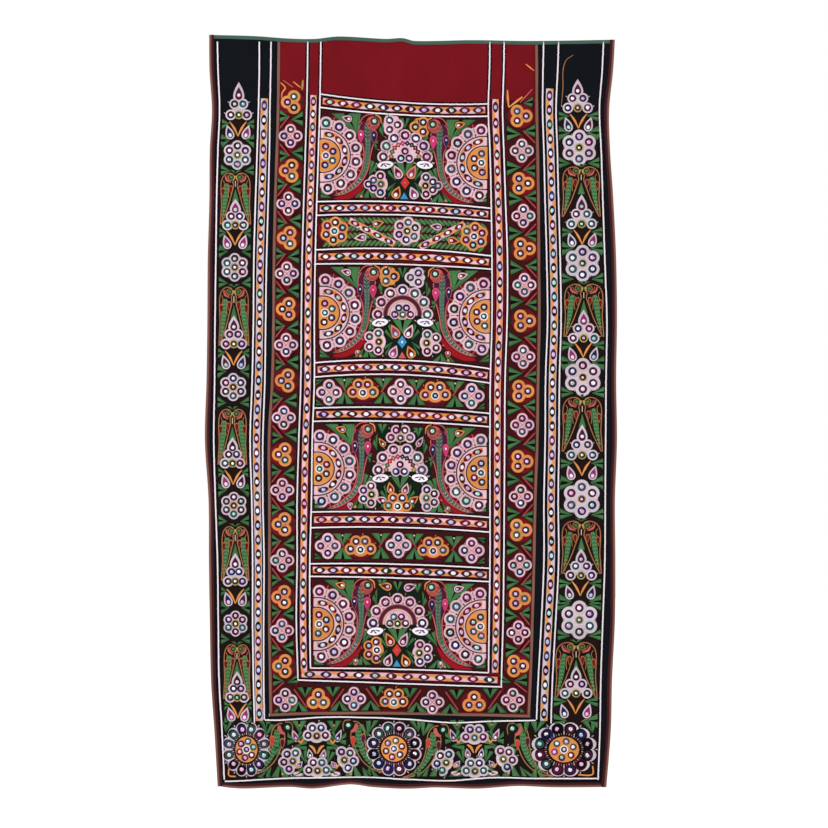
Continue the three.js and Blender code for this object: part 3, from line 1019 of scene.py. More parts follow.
# An orange V between two drops, with leaves at its sides.
def veeAndDrops(x, upper, lower, wide):
    height = upper - lower
    for side in (-1, 1):
        arm = mirrored(x, upper, side, (21, 3), (13, -7), (6, -19), (0, -33))
        stroke("orange", arm, np.array([2.2, 5.6, 6.6, 5.0, 2.5]), 1.2)
        drop(x + side * 23 * wide, lower + height * 0.42, 25, 40, "lilac", anyOf("navy", "plum", "magenta"),
             -side * 0.3)
        edge = x + side * 42 * wide
        leaves((edge, upper + 10), (edge, upper - 16), (x + side * 20, upper - 2), 0.22)
        leaves((edge, lower + 13), (edge, lower - 24), (x + side * 20, lower - 5), 0.22)


# Lines of a parrot: across from the middle of its pair and down from its top, for one 128 mm tall.
parrotLines = {
    "height": 128.0,
    "body": ((22, 26), (25, 40), (27, 62), (30, 86), (35, 112)),
    "back": ((3, 14), (6, 4), (13, 0.5), (23, 1.5), (32, 8), (37, 19), (38.5, 33), (38, 55), (37, 78),
             (38.5, 101), (40, 127)),
    "front": ((4, 17), (7, 22), (5, 33), (9, 47), (15, 67), (21, 86), (27, 101), (33, 116), (38, 127)),
    "folds": (((17, 30), (19, 48), (18, 62)), ((33, 18), (29, 26), (33, 42), (35, 60))),
    "collar": ((27, 7), (24, 17), (12, 23)),
    "collarLine": ((23, 6), (19, 15), (11, 20)),
    "wings": ((33.5, 48), (12.5, 42)),
    "tail": ((31, 88), (36, 122)),
    "eye": (11, 10.5),
    "beak": (3.5, 13),
}


# One parrot faces the middle of its pair: an arched back, a short neck, a long green body and wing patches.
def parrot(x, upper, lower, side, wide):
    size = (upper - lower) / parrotLines["height"]

    def spots(*places):
        return [(x - side * across * wide, upper - down * size) for across, down in places]

    lines = {name: spots(*parrotLines[name])
             for name in ("back", "front", "collar", "collarLine", "wings", "tail")}
    body = smoothPath(spots(*parrotLines["body"]))
    band("green", body, np.array([10, 15, 14, 10, 4]), 1.0)
    for k, (bx, bz) in enumerate(body[1:-1], 1):
        for turn in (-1, 1):
            put("chip", ("pine", "sage")[k % 2], bx + turn * 2.8, bz, 3.0, 1.0, upward + turn * 0.6, 1.3)
    for name in ("back", "front"):
        stroke("tan", lines[name], 2.9, 1.2)
    for places in parrotLines["folds"]:
        stroke("tan", spots(*places), 2.0, 1.2)
    stroke("salmon", lines["collar"], np.array([4.0, 7.0, 3.0]), 1.1)
    stroke("tan", lines["collarLine"], 1.8, 1.3)
    for px, pz in lines["wings"]:
        put("drop", "tan", px, pz, 6.1, 11.7 * size, np.pi, 1.1)
        put("drop", "maroon", px, pz, 4.5, 9.9 * size, np.pi, 1.4)
        put("grain", "red", px, pz + 2, 2.2, 4.0, 0.0, 1.8)
    eye, beak = spots(parrotLines["eye"], parrotLines["beak"])
    put("disc", "tan", *eye, 8.6, rise=1.2)
    put("ring", "pine", *eye, 6.8, rise=1.8)
    put("disc", "green", *eye, 4.2, rise=1.7)
    stroke("tan", lines["tail"], 2.0, 1.2)
    put("drop", "gold", *beak, 3.2, 7, np.pi - side * 0.2, 1.3)


for side, plan in borders.items():
    def place(z):
        rim, outer = float(at(side + "Rim", z)), float(at(side + "Outer", z))
        return (rim + outer) / 2, abs(rim - outer) / plan["room"]

    for upper, lower in plan["parrots"]:
        x, wide = place(lower)
        size = (upper - lower) / parrotLines["height"]
        for turn in (1, -1):
            parrot(x, upper, lower, turn, wide)
        stroke("cream", [(x, upper - 20 * size), (x, upper - 34 * size)], 2.6, 1.2, 1.0)
        patch("green", [(x, upper - 38 * size), (x - 9, upper - 70 * size), (x + 9, upper - 70 * size)])
        leaves((x - 16, upper + 7), (x + 16, upper + 7), (x, upper - 2))
    for upper, lower in plan["trees"]:
        x, wide = place(lower)
        mirrorTree(x, upper, lower, wide)
    for upper, lower in plan["vees"]:
        x, wide = place(lower)
        veeAndDrops(x, upper, lower, wide)
    for z in plan["rosettes"]:
        x, wide = place(z)
        for across in (-43 * wide, 43 * wide):
            edge = x + across
            for up in (26, -26):
                leaves((edge, z + up * 0.85), (edge, z + up * 1.95), (x + across * 0.4, z + up * 1.5), 0.22)
        flower(x, z, 6, 23.8 * wide, "lilac", np.pi / 6, "gold", 15.6 * wide, 0.55 + 0.5 * wide)
looseThread = ((396, -42), (379, -54), (371, -80), (371, -118), (367, -166))
stroke("tan", looseThread, np.array([1.6, 2.4, 2.4, 1.6]), 0.8)
print("side borders sewn")

# Flower columns beside the seams, and the row that joins them at the foot: heights of hearts and of crossed
# flowers. A heart has the distance of its single mirror and the place of the other two.
fields = {
    "left": {
        "hearts": (-157, -325, -490, -664, -839, -1020, -1191, -1369, -1538), "shift": -2.0,
        "crossed": (-240, -406, -577, -752, -930, -1107, -1279, -1451), "corner": (-309, -1621),
        "heart": (10.5, (-5.5, 13.5)), "turn": np.pi,
    },
    "right": {
        "hearts": (-191, -356, -516, -693, -865, -1037, -1205, -1373, -1538), "shift": 2.0,
        "crossed": (-276, -436, -605, -781, -948, -1123, -1291, -1456), "corner": (248, -1621),
        "heart": (13.5, (-8.5, 11.7)), "turn": 0.0,
    },
    "foot": ((-228, -1620, "heart"), (-141, -1618, "crossed"), (-43, -1618, "fan"), (51, -1626, "crossed"),
             (153, -1626, "heart")),
    "margin": (6, 7),       # from a seam, and from a white line, to the leaves beside it
}


# A flower of four petals with a crossed thread, on a maroon diamond.
def crossed(x, z, tall=48, size=1.0):
    put("diamond", "black", x, z, 38, tall + 3, 0.0, 0.5)
    put("diamond", "maroon", x, z, 36, tall, 0.0, 0.7)
    flower(x, z, 4, 16.0 * size, "pink", 0.0, None, 14.4 * size)
    for dx in (-12, 12):
        stroke("salmon", [(x - dx, z - 12), (x + dx, z + 12)], 2.0, 1.7)


# A heart of three mirrors, the single one on the pointed side.
def heart(x, z, turn, single=12.2, pair=(-7, 12.6)):
    ax, az = np.cos(turn), np.sin(turn)
    put("plate", "maroon", x, z, 33.5, 31 if turn != upward else 29, 0.0, 0.6)
    for along, across in ((single, 0), pair, (pair[0], -pair[1])):
        petal(x + along * ax - across * az, z + along * az + across * ax, "orange", 17.0)
    put("disc", "orange", x, z, 14, rise=1.2)
    for px, pz, angle in spokes(x, z, 3, 7.5, turn + np.pi / 3):
        put("chip", "salmon", px, pz, 5.5, 1.1, angle, 1.7)


# A slanting stripe: a clay thread on a maroon band with black edges.
def ladder(start, end):
    stroke("maroon", [start, end], 9.0, 0.9, 1.2)
    stroke("clay", [start, end], 3.0, 1.3)


seamMargin, lineMargin = fields["margin"]
for side, sign in (("left", -1), ("right", 1)):
    plan = fields[side]
    for z in plan["crossed"]:
        outer = float(at(side + "Seam", z)) - sign * seamMargin
        inner = float(at(side + "Field", z)) + sign * lineMargin
        x = (outer + inner) / 2 + plan["shift"]
        crossed(x, z)
        for up in (-1, 1):
            leaves((outer, z + up * 66), (outer, z + up * 33), (x + sign * 3, z + up * 47))
            leaves((inner, z + up * 62), (inner, z + up * 24), (x - sign * 1, z + up * 40))
            ladder((outer, z + up * 19), (x + sign * 3, z + up * 49))
    for z in plan["hearts"]:
        x = float(at(side + "Seam", z) + at(side + "Field", z)) / 2 + plan["shift"]
        inner = float(at(side + "Field", z)) + sign * lineMargin
        patch("pine", [(inner, z + 10), (inner, z - 10), (inner + sign * 8, z)])
        heart(x, z, plan["turn"], *plan["heart"])
    x, z = plan["corner"]
    outer = float(at(side + "Seam", z)) - sign * seamMargin
    leaves((outer, z + 66), (outer, z + 33), (x + sign * 3, z + 47))
    leaves(*mirrored(x, z, -sign, (32, 66), (32, 41), (4, 42)))
    ladder((outer, z + 19), (x + sign * 3, z + 44))
    crossed(x, z, 30)
    leaves(*mirrored(x, z, sign, (30, -30), (-6, -32), (20, -20)))

# Loose strokes and a leaf in the upper ends of the columns.
upperStrokes = (
    (((-321, -109), (-309, -122), (-317, -134), (-318, -147)), "orange", 5.0),
    (((-315, -103), (-290, -121)), "tan", 3.4), (((-290, -107), (-272, -121)), "orange", 4.2),
    (((-266, -103), (-268, -127)), "gold", 6.0), (((235, -127), (236, -150), (238, -170)), "orange", 6.5),
    (((238, -170), (272, -144)), "orange", 6.5), (((296, -125), (266, -158)), "salmon", 3.4),
    (((280, -64), (300, -80)), "orange", 4.2),
)
for points, colour, width in upperStrokes:
    stroke(colour, points, np.array([width * 0.6, width, width * 0.7]), 0.9)
leaves((299, -142), (295, -170), (272, -160))
stops = [fields["left"]["corner"]] + [spot[:2] for spot in fields["foot"]] + [fields["right"]["corner"]]
for k, ((ax, az), (bx, bz)) in enumerate(zip(stops[:-1], stops[1:])):
    x, z = (ax + bx) / 2, (az + bz) / 2
    lean = 8 if k % 2 else -8
    leaves((x - 20 - lean, z + 31), (x + 20 - lean, z + 31), (x - lean, z + 5))
    leaves((x - 26 + lean, z - 29), (x + 26 + lean, z - 29), (x + lean, z - 3))
    ladder((x + lean * 2.4, z + 26), (x - lean * 1.6, z - 20))
for x, z, kind in fields["foot"]:
    if kind == "heart":
        heart(x, z, upward)
    elif kind == "crossed":
        crossed(x, z, 30)
    else:
        fan(x, z - 8, "orange", centre="white", distance=21.5, radius=14.6)
print("flower columns sewn")

# Narrow flower strips across the panel: one of rosettes on green, and two of crossed flowers and fans.
rosetteStrip = {
    "ground": {"rows": 4, "from": -214, "to": 178, "pitch": 11.5, "lens": (11.2, 3.7), "slant": 0.75},
    "bands": ((-98, -477, -1), (76, -485, 1)),
    "rosettes": ((-189, -473, "orange"), (-11, -473, "pink"), (153, -486, "orange")),
}
strips = (
    ((-202, -868, "crossed"), (-119, -862, "fan"), (-27, -866, "crossed"), (58, -869, "fan"),
     (147, -877, "crossed")),
    ((-205, -1244, "crossed"), (-125, -1246, "fan"), (-32, -1242, "crossed"), (53, -1249, "fan"),
     (147, -1255, "crossed")),
)
ground = rosetteStrip["ground"]
for row in range(ground["rows"]):
    slant = ground["slant"] if row % 2 else -ground["slant"]
    for x in np.arange(ground["from"] + 5 * (row % 2), ground["to"], ground["pitch"]):
        z = float(levelAt[3](x)) * (3.7 - row) / 4.5 + float(levelAt[4](x)) * (row + 0.8) / 4.5
        put("lens", "green", x, z, *ground["lens"], slant, 0.9)
for middle, z, sign in rosetteStrip["bands"]:
    first, second = ("pink", "orange") if sign > 0 else ("orange", "pink")
    ends = ((middle - sign * 56, z - 28), (middle + sign * 54, z + 30))
    lensBand(smoothPath(ends), 4, 9.0, (13.4, 6.8), warm, 3)
    drop(middle - sign * 17, z + 23, 21, 32, first, "plum", sign * 1.4)
    drop(middle + sign * 28, z - 12, 22, 34, second, "maroon", -sign * 1.7)
for x, z, colour in rosetteStrip["rosettes"]:
    put("plate", "maroon", x, z, 42, 37, 0.0, 0.55)
    put("plate", colour, x, z, 33.0, rise=0.9)
    flower(x, z, 6, 21.5, colour, 0.4, "white" if colour == "orange" else "gold", 15.2)
for row in strips:
    for (ax, az, _), (bx, bz, kind) in zip(row[:-1], row[1:]):
        x, z = (ax + bx) / 2, (az + bz) / 2
        lean = 1 if kind == "fan" else -1
        leaves((x - 25 - lean * 4, z + 32), (x + 25 - lean * 4, z + 32), (x - lean * 3, z + 3), 0.2)
        leaves(*mirrored(x, z, lean, (-27, -31), (21, -32), (-4, -1)), 0.2)
        dot(x - lean * 4, z + 27, "cream", 2.6)
        ladder((x - lean * 17, z + 24), (x + lean * 2, z - 4))
    for (x, z, _), sign in ((row[0], -1), (row[-1], 1)):
        for up in (-32, 32):
            leaves(*mirrored(x, z, sign, (32, up * 0.5), (32, up), (12, up)))
    for x, z, kind in row:
        if kind == "fan":
            stroke("plum", [(x - 22, z - 31), (x + 22, z - 31)], 4.0, 1.0)
            put("plate", "maroon", x, z, 40, 30, 0.0, 0.6)
            fan(x, z - 7, "orange", centre="white", distance=24.5, radius=15.4, front=0.94)
        else:
            crossed(x, z, 32, 1.08)
print("flower strips sewn")

# Bird panels: half rosettes at the sides, a bird round each, an arched flower, and fillers. Each has the
# middles of its rosettes, the arch's middle, radius and petals, its upper white line, and what stands above
# and below the arch.
birdPanels = (
    {"left": (-215, -288), "right": (176, -306), "arch": (-16, -292, 53, 7), "squares": True, "line": 1,
     "gem": (-16, -355, "red"), "below": (-18, -389, "sky"), "front": 1.0,
     "fans": ((-83, -358, "pink", 31), (42, -362, "pink", 31)),
     "crown": ((-47, -213, "pink"), (22, -218, "orange")),
     "wings": (("rose", "navy"), ("navy", "rose")), "drops": ("pink", "orange", "orange", "lilac")},
    {"left": (-217, -673), "right": (182, -682), "arch": (-22, -678, 60, 7), "squares": False, "line": 5,
     "gem": (-23, -745, "sky"), "below": (-23, -779, "salmon"), "front": 1.28,
     "fans": ((-88, -744, "pink", 0), (45, -747, "pink", 0)),
     "crown": ((-56, -584, "orange"), (10, -587, "lilac")),
     "wings": (("navy", "rose"), ("navy", "rose")), "drops": ("orange", "pink", "pink", "orange")},
    {"left": (-230, -1055), "right": (175, -1065), "arch": (-28, -1059, 53, 6), "squares": True, "line": 9,
     "gem": (-34, -1139, ""), "below": None, "front": 1.08,
     "fans": ((-106, -1118, "pink", 0), (44, -1127, "pink", 0)), "crown": ((-27, -974, "fan"),),
     "wings": (("navy", "rose"), ("rose", "navy")), "drops": ()},
    {"left": (-231, -1435), "right": (173, -1441), "arch": (-34, -1434, 60, 7), "squares": False, "line": 13,
     "gem": (-36, -1499, "red"), "below": (-36, -1533, "sky"), "front": 1.1,
     "fans": ((-93, -1499, "orange", 0), (27, -1506, "pink", 0)), "crown": (),
     "wings": (("navy", "rose"), ("rose", "navy")), "drops": ("orange", "pink", "lilac", "orange")},
)
# Body line of a bird from its neck to its tail, away from the rosette's middle and up, with its whole width.
birdLine = ((104, 99, 26), (107, 88, 43), (107, 69, 47), (108, 41, 41), (108, 21, 27), (106, -2, 20),
            (102, -29, 19), (93, -51, 18), (78, -70, 17), (58, -85, 14), (41, -93, 10), (24, -98, 4))
# Marks in the white eye shapes: across, up, half length and turn.
eyeMarks = ((-7, 1.5, 7.5, 0.2), (5, 2, 7.5, -0.2), (0, -2.4, 5, 0.7), (9, -2, 5, -0.6))
squareColours = ("gold", "red", "navy", "maroon", "green", "rose", "plum", "tan", "salmon", "pine")


# Half a round with its flat side carried on to the white line beside it.
def halfRound(x, z, sign, radius, reach=11):
    bow = arc(x, z, radius, -90, 90) if sign > 0 else arc(x, z, radius, 270, 90)
    return np.concatenate([[(x - sign * reach, z - radius)], bow, [(x - sign * reach, z + radius)]])


# Half a rosette from its rim to its middle: mirror petals with marks between them, a ring of lens eyes, and
# an orange half round with mirrors.
def halfRosette(x, z, sign):
    def angles(degrees):
        return (0.0 if sign > 0 else np.pi) + sign * np.radians(degrees)

    patch("maroon", halfRound(x, z, sign, 102), 0.5)
    patch("pink", halfRound(x, z, sign, 82), 0.75)
    for angle in angles(np.linspace(-83, 86, 8)):
        petal(*polar(x, z, 80, angle), "pink", 17.0, 1.2)
    for angle in angles(np.linspace(-71, 74, 7)):
        put("disc", "pink", *polar(x, z, 79, angle), 11.5, rise=1.15)
        put("chip", "salmon", *polar(x, z, 95, angle), 5.0, 1.2, angle, 0.9)
        put("chip", "maroon", *polar(x, z, 82, angle), 9.5, 1.0, angle, 1.45)
        put("chip", "plum", *polar(x, z, 70, angle), 4.0, 2.4, angle, 1.45)
        for lean in (-0.1, 0.1):
            put("chip", "salmon", *polar(x, z, 71, angle + lean), 7, 0.9, angle - 4 * lean, 1.45)
    lensBand(halfRound(x, z, sign, 53)[1:-1], 6, 10.2, (14.6, 7.6), warm, 4)
    patch("orange", halfRound(x, z, sign, 41), 1.1)
    for radius in (65, 41):
        band("black", halfRound(x, z, sign, radius), 3.8, 1.8)
    for angle in angles([-88, -32, 27, 84]):
        mirror(*polar(x + sign * 2, z, 23, angle))
        stroke("maroon", [(x + sign * 3, z), polar(x + sign * 2, z, 14, angle + 0.5)], 1.6, 1.5)
    ringedMirror(x + sign * 5, z, "white", "teal")


# A bird stands round a half rosette: an outline, a dark coat and a scaled core along its line, a striped
# neck, a mirror for its eye under the white line, two wing drops, and a red crescent below its tail. Above its
# middle it is stretched so that its head meets the line.
def bird(x, z, sign, wings, top):
    lift = float(top(x + sign * 124)) - 20 - (z + 97)

    def spots(*places):
        return [(x + sign * across, z + up + lift * np.clip((up - 20) / 77, 0, 1)) for across, up in places]

    middles = spots(*(row[:2] for row in birdLine))
    line = smoothPath([spot + (row[2],) for spot, row in zip(middles, birdLine)])
    path, width = line[:, :2], line[:, 2]
    ahead, left = waysAlong(path)
    low = len(path) * 6 // 10
    band("crimson", (path + sign * left * (width / 2 + 6)[:, None])[low:], np.array([4, 14, 19, 17, 8]), 0.5)
    band("black", path, width + 4.4, 0.6)
    band("salmon", path, width, 0.95)
    band("plum", path, np.maximum(width - 5.4, 1), 1.2)
    core = np.interp(np.linspace(0, 1, len(path)), [0, 0.08, 0.3, 0.7, 1], [8, 19, 14, 10, 4])
    band("slate", path[1:], core[1:], 1.5)
    for k in range(1, len(path) - 3):
        heading = np.arctan2(ahead[k, 1], ahead[k, 0])
        scales = ("green", "sage") if k > len(path) * 0.2 else ("sage", "plum")
        if k > low:
            scales = ("lilac", "green")
        for turn in (-1, 1):
            px, pz = path[k] + left[k] * turn * core[k] * 0.24
            put("chip", scales[k % 2], px, pz, core[k] * 0.3, 1.1, heading - turn * 0.7, 1.8)
    for (px, pz), colour, wide, tall in zip(spots((91, 52), (123, 50)), wings, (7.4, 8.6), (16, 17)):
        put("drop", "black", px, pz, wide + 3.2, tall + 4, np.pi, 1.3)
        put("drop", "salmon", px, pz, wide + 1.8, tall + 2.2, np.pi, 1.6)
        put("drop", colour, px, pz, wide, tall, np.pi, 1.9)
        glass(px, pz + tall * 0.3, 2.4, 3.2, rise=2.3)
    ex, ez = spots((124, 97))[0]
    put("disc", "black", ex - sign * 4, ez - 5, 20.5, rise=1.4)
    put("disc", "salmon", ex - sign * 4, ez - 5, 18.5, rise=1.7)
    for radius in (11.4, 14.2, 17.0):
        ends = (160, 320) if sign > 0 else (20, -140)
        band("maroon", arc(ex - sign * 2, ez - 2, radius, *ends, 3.0), 1.5, 2.0)
    stroke("salmon", spots((88, 92), (95, 105), (108, 113), (122, 113)), 3.0, 1.5)
    stroke("orange", spots((126, 113), (138, 106), (141, 90)), np.array([3, 5.5, 2]), 1.5)
    put("ring", "pine", ex, ez, 10.4, rise=2.4)
    glass(ex, ez, 6.2, tint="mint", rise=2.1)


# An arched flower: mirror petals over a half turn, inside them either a row of squares and three petals or a
# plum arch and a small fan, and a white eye shape below each end.
def archFlower(x, z, radius, count, squares):
    patch("black", np.concatenate([arc(x, z, radius + 5, -3, 183), [(x, z - 8)]]), 0.6)
    patch("pink", np.concatenate([arc(x, z, radius + 3, -3, 183), [(x, z - 6)]]), 0.9)
    for angle in np.radians(np.linspace(1, 179, count)):
        petal(*polar(x, z, radius, angle), "pink", 16.0, 1.2)
    for angle in np.radians(np.linspace(1, 179, count)[:-1] + 89 / (count - 1)):
        put("disc", "pink", *polar(x, z, radius - 2, angle), 10.5, rise=1.15)
        put("chip", "salmon", *polar(x, z, radius + 15, angle), 5, 1.2, angle, 0.9)
        put("chip", "maroon", *polar(x, z, radius + 2, angle), 9.5, 1.0, angle, 1.45)
        put("chip", "salmon", *polar(x, z, radius - 9, angle), 2.4, 3.4, angle, 1.45)
    inner = radius - 19
    if squares:
        for k, angle in enumerate(np.radians(np.linspace(3, 177, 10))):
            px, pz = polar(x, z, inner, angle)
            put("diamond", "black", px, pz, 8.4, None, angle, 1.3)
            put("diamond", squareColours[k * 3 % 10], px, pz, 6.6, None, angle, 1.7)
            put("chip", "cream", px, pz, 1.7, None, angle, 2.0)
        for px, pz, _ in spokes(x, z + 3, 3, 11.5, upward):
            petal(px, pz, "pink", 13.0)
    else:
        rings = ((inner + 1, 15, "tan", 1.3), (inner + 1, 10.5, "plum", 1.6), (inner - 9, 2.0, "tan", 1.3))
        for reach, wide, colour, rise in rings:
            band(colour, arc(x, z, reach, -3, 183), wide, rise)
        put("disc", "pink", x, z + 3, 17, rise=1.2)
        for angle in np.radians(np.linspace(2, 178, 4)):
            petal(*polar(x, z, 19, angle), "pink", 12.4)
        ringedMirror(x, z, "gold")
    for sign in (-1, 1):
        px, pz = x + sign * (radius - 5), z - 19
        put("lens", "black", px, pz, 25, 13.5, -sign * 0.12, 1.2)
        put("lens", "white", px, pz, 22.5, 11.0, -sign * 0.12, 1.6)
        for across, up, wide, turn in eyeMarks:
            put("chip", "navy", px + sign * across, pz + up, wide, 2.0, sign * turn, 2.0)
        for across, turn in ((-23, 2.6), (22, 0.5), (18, 1.1)):
            put("chip", "pink", px + across, pz + 4, 5, 1.2, turn, 1.1)


# Dark green ground between the birds: up to the line above the arch, and down between the two tails.
def birdGround(plan, top, bottom):
    (lx, lz), (rx, rz) = plan["left"], plan["right"]
    az = plan["arch"][1]
    ups = (-107, -90, -73, -51, -29, 0, 40)
    across = (92, 98, 106, 114, 119, 122, 124)
    fieldPad("moss", fixed(lx + 140), fixed(rx - 140), moved(top, -5), fixed(az + 30), 18, 10, 0.45)
    fieldPad("moss", lambda z: lx + np.interp(z - lz, ups, across),
             lambda z: rx - np.interp(z - rz, ups, across), fixed(az + 31), moved(bottom, 5), 30, 18, 0.45)


# Leaves, a drop and a dot round one rosette and its bird.
def sideFillers(x, z, sign, top, bottom):
    up = float(top(x + sign * 50)) - z - 7
    low = float(bottom(x + sign * 50)) - z + 8
    for a, b, tip in (((16, up), (92, up), (85, up - 56)), ((-8, low), (-8, low + 22), (18, low)),
                      ((74, low), (94, low), (102, low + 26)), ((94, low), (134, low), (108, low + 22)),
                      ((114, -10), (140, -22), (110, -50)), ((146, up), (172, up), (158, up - 24)),
                      ((134, 62), (148, 90), (146, 44)), ((134, 40), (128, 12), (120, 34))):
        leaves(*mirrored(x, z, sign, a, b, tip), 0.16)
    drop(x + sign * 56, z + up - 13, 20, 29, anyOf("pink", "orange"), "maroon", sign * 1.3, 0.7)
    dot(x + sign * 92, z + low + 4)


# Leaves above and below the arch, and below it drops round a gem, or round a fan where there is no gem.
def archFillers(plan, top, bottom):
    ax, az = plan["arch"][:2]
    gx, gz, gem = plan["gem"]
    upper = float(top(ax)) - 8
    leaves((ax - 13, upper), (ax + 13, upper), (ax, upper - 26))
    leaves((ax - 26, az - 11), (ax + 26, az - 11), (ax, az - 48), 0.2)
    low = float(bottom(gx)) + 9
    for sign in (-1, 1):
        leaves(*mirrored(gx, gz, sign, (30, 48), (44, 24), (22, 4)))
        leaves((gx + sign * 44, low + 26), (gx + sign * 40, low), (gx + sign * 22, gz + 2))
    places = ((-19, 27, 0.45), (18, 27, -0.45), (-20, -23, -0.4), (20, -24, 0.4))
    for (px, pz, turn), colour in zip(places, plan["drops"]):
        drop(gx + px, gz + pz, 27, 39 if pz > 0 else 35, colour, anyOf("plum", "maroon", "magenta"), turn)
    if gem:
        put("diamond", "black", gx, gz, 15, 20, 0.0, 0.8)
        put("diamond", gem, gx, gz, 12.6, 17.5, 0.0, 1.5)
        put("diamond", "salmon" if gem == "red" else "white", gx, gz, 3, 4.6, 0.0, 1.9)
        bx, bz, colour = plan["below"]
        patch(colour, [(bx - 10, bz - 6), (bx + 10, bz - 6), (bx, bz + 11)], 1.3)
    else:
        fan(gx, gz - 8, "orange", centre="white", distance=22, radius=14.4)
        for px, pz, turn, colour in ((-18, 38, 0.2, "orange"), (20, 36, -0.3, "pink"), (-41, 8, 1.2, "pink"),
                                     (40, 8, -0.9, "orange")):
            drop(gx + px, gz + pz, 22, 31, colour, "maroon", turn)


# Two fans that lie on their sides below the arch; a short one has a small drop beyond it.
def lyingFans(plan):
    for x, z, colour, tip in plan["fans"]:
        sign = 1 if x > plan["gem"][0] else -1
        turn = 0.0 if sign > 0 else np.pi
        centre = "gold" if colour == "pink" else "white"
        fan(x - sign * 8, z, colour, turn, 20.5, centre, tip=tip, front=plan["front"])
        if not tip:
            drop(x + sign * 44, z - 29, 17, 20, anyOf("pink", "orange"), "magenta", np.pi)


# What stands above the arch: two flowers of three petals, one fan between drops, or two drops alone.
def crown(plan):
    ax, az = plan["arch"][:2]
    for x, z, kind in plan["crown"]:
        if kind == "fan":
            fan(x, z - 6, "pink", distance=23.0, radius=14.0, front=0.95, core=17)
            drop(x - 46, z - 16, 16, 28, "orange", "maroon", 0.6)
            drop(x + 48, z - 14, 17, 32, "pink", "plum", -0.6)
        else:
            turn = np.pi if x > ax else 0.0
            flower(x, z, 3, 13.0, kind, turn, None, 15.0)
            for px, pz, _ in spokes(x, z, 3, 13.5, turn + np.pi):
                put("disc", kind, px, pz, 10.5, rise=1.1)
    if not plan["crown"]:
        drop(ax - 31, az + 92, 23, 36, "orange", "maroon", 1.3)
        drop(ax + 32, az + 90, 23, 36, "pink", "plum", -1.3)


for plan in birdPanels:
    top, bottom = levelAt[plan["line"]], levelAt[plan["line"] + 1]
    sides = (("left", 1), ("right", -1))
    birdGround(plan, top, bottom)
    for side, sign in sides:
        sideFillers(*plan[side], sign, top, bottom)
    archFlower(*plan["arch"], plan["squares"])
    archFillers(plan, top, bottom)
    lyingFans(plan)
    crown(plan)
    for (side, sign), wings in zip(sides, plan["wings"]):
        bird(*plan[side], sign, wings, top)
        halfRosette(*plan[side], sign)
print("bird panels sewn")

# Foot border: three big rosettes with their widths, groups of fans, drops and a V, and a bird at each side of
# a group. The corners have an orange mark.
foot = {
    "rosettes": ((-404, -1742, 0.85), (-43, -1740, 1.0), (373, -1742, 1.17)),
    "groups": (
        {"middle": (-232, -1748), "birds": ((-304, -1688, 1), (-155, -1683, -1)),
         "fans": ((-232, -1704, 1.57), (-295, -1769, 2.75), (-160, -1766, 0.4), (-230, -1789, 1.57))},
        {"middle": (154, -1746), "birds": ((78, -1694, 1), (247, -1691, -1)),
         "fans": ((154, -1708, 1.57), (80, -1772, 2.75), (229, -1764, 0.4), (155, -1790, 1.57))},
    ),
    "leaves": (
        ((24, 77), (62, 77), (42, 46)), ((24, 32), (24, 2), (58, 12)), ((22, 6), (48, -2), (26, -30)),
        ((66, -62), (112, -62), (90, -26)), ((72, 50), (72, 16), (50, 26)), ((98, 66), (136, 74), (126, 36)),
        ((26, 38), (42, 56), (52, 22)), ((30, -62), (34, -32), (64, -62)), ((108, 26), (100, -10), (84, 12)),
        ((116, -62), (148, -62), (110, -36)),
    ),
    "corners": (((-447, -1789), (-447, -1806), (-430, -1808)), ((443, -1782), (443, -1803), (408, -1804))),
}


# A big rosette from its rim to its middle: twelve petals with dark drops, a dark ring of dashes, and an orange
# disc with seven mirrors; size is its width as a share of its height.
def bigRosette(x, z, size):
    def oval(across, tall, angle):
        return x + across * size * np.cos(angle), z + tall * np.sin(angle)

    put("plate", "lilac", x, z, 58 * size, 58, 0.0, 0.8)
    for angle in np.arange(12) * np.pi / 6 + 0.26:
        px, pz = oval(52, 51, angle)
        put("disc", "lilac", px, pz, 18.2 * size, 17.6, 0.0, 1.1)
        put("drop", anyOf("navy", "black", "black", "wine"), *oval(45, 45, angle), 15.6 * size, 22.5,
            angle + upward, 1.5)
        mirror(px, pz, anyOf("navy", "plum", "teal", "black"), 1.15)
        notch = angle + np.pi / 12
        put("grain", "lilac", *oval(69, 66, notch), 6.0, 1.9, notch, 1.1)
    put("plate", "soot", x, z, 43 * size, 42.5, 0.0, 1.3)
    for k, angle in enumerate(np.arange(44) * np.pi / 22):
        put("chip", "lilac" if k % 2 else "tan", *oval(38.5, 38, angle), 3.2, 1.1, angle, 1.6)
    put("plate", "orange", x, z, 33.5 * size, 33.5, 0.0, 1.6)
    for px, pz, _ in spokes(0, 0, 6, 20.5, 0.3):
        put("ring", anyOf("navy", "plum", "magenta", "teal", "maroon"), x + px * size, z + pz, 9.0, rise=2.5)
        glass(x + px * size, z + pz, 5.5, rise=2.2)
    put("ring", "white", x, z, 11.0, rise=2.4)
    put("ring", "teal", x, z, 8.2, rise=2.8)
    glass(x, z, 5.0, rise=2.3)


# Lines of a foot bird, across and up from its eye.
footBirdLines = {
    "body": ((-24, -6), (-27, -30), (-31, -50), (-40, -72), (-54, -92), (-74, -108)),
    "back": ((-12, 10), (-24, 8), (-36, -6), (-41, -30), (-43, -52), (-51, -76), (-64, -96), (-82, -110),
             (-100, -116)),
    "front": ((-8, -14), (-6, -30), (-14, -46), (-22, -66), (-34, -86), (-54, -104), (-78, -114),
              (-100, -117)),
    "collar": ((-20, 5), (-18, -9), (-6, -16)),
    "wings": ((-37, -34), (-12, -40)),
    "head": ((-6, 13), (8, 12), (13, 2), (11, -14)),
}


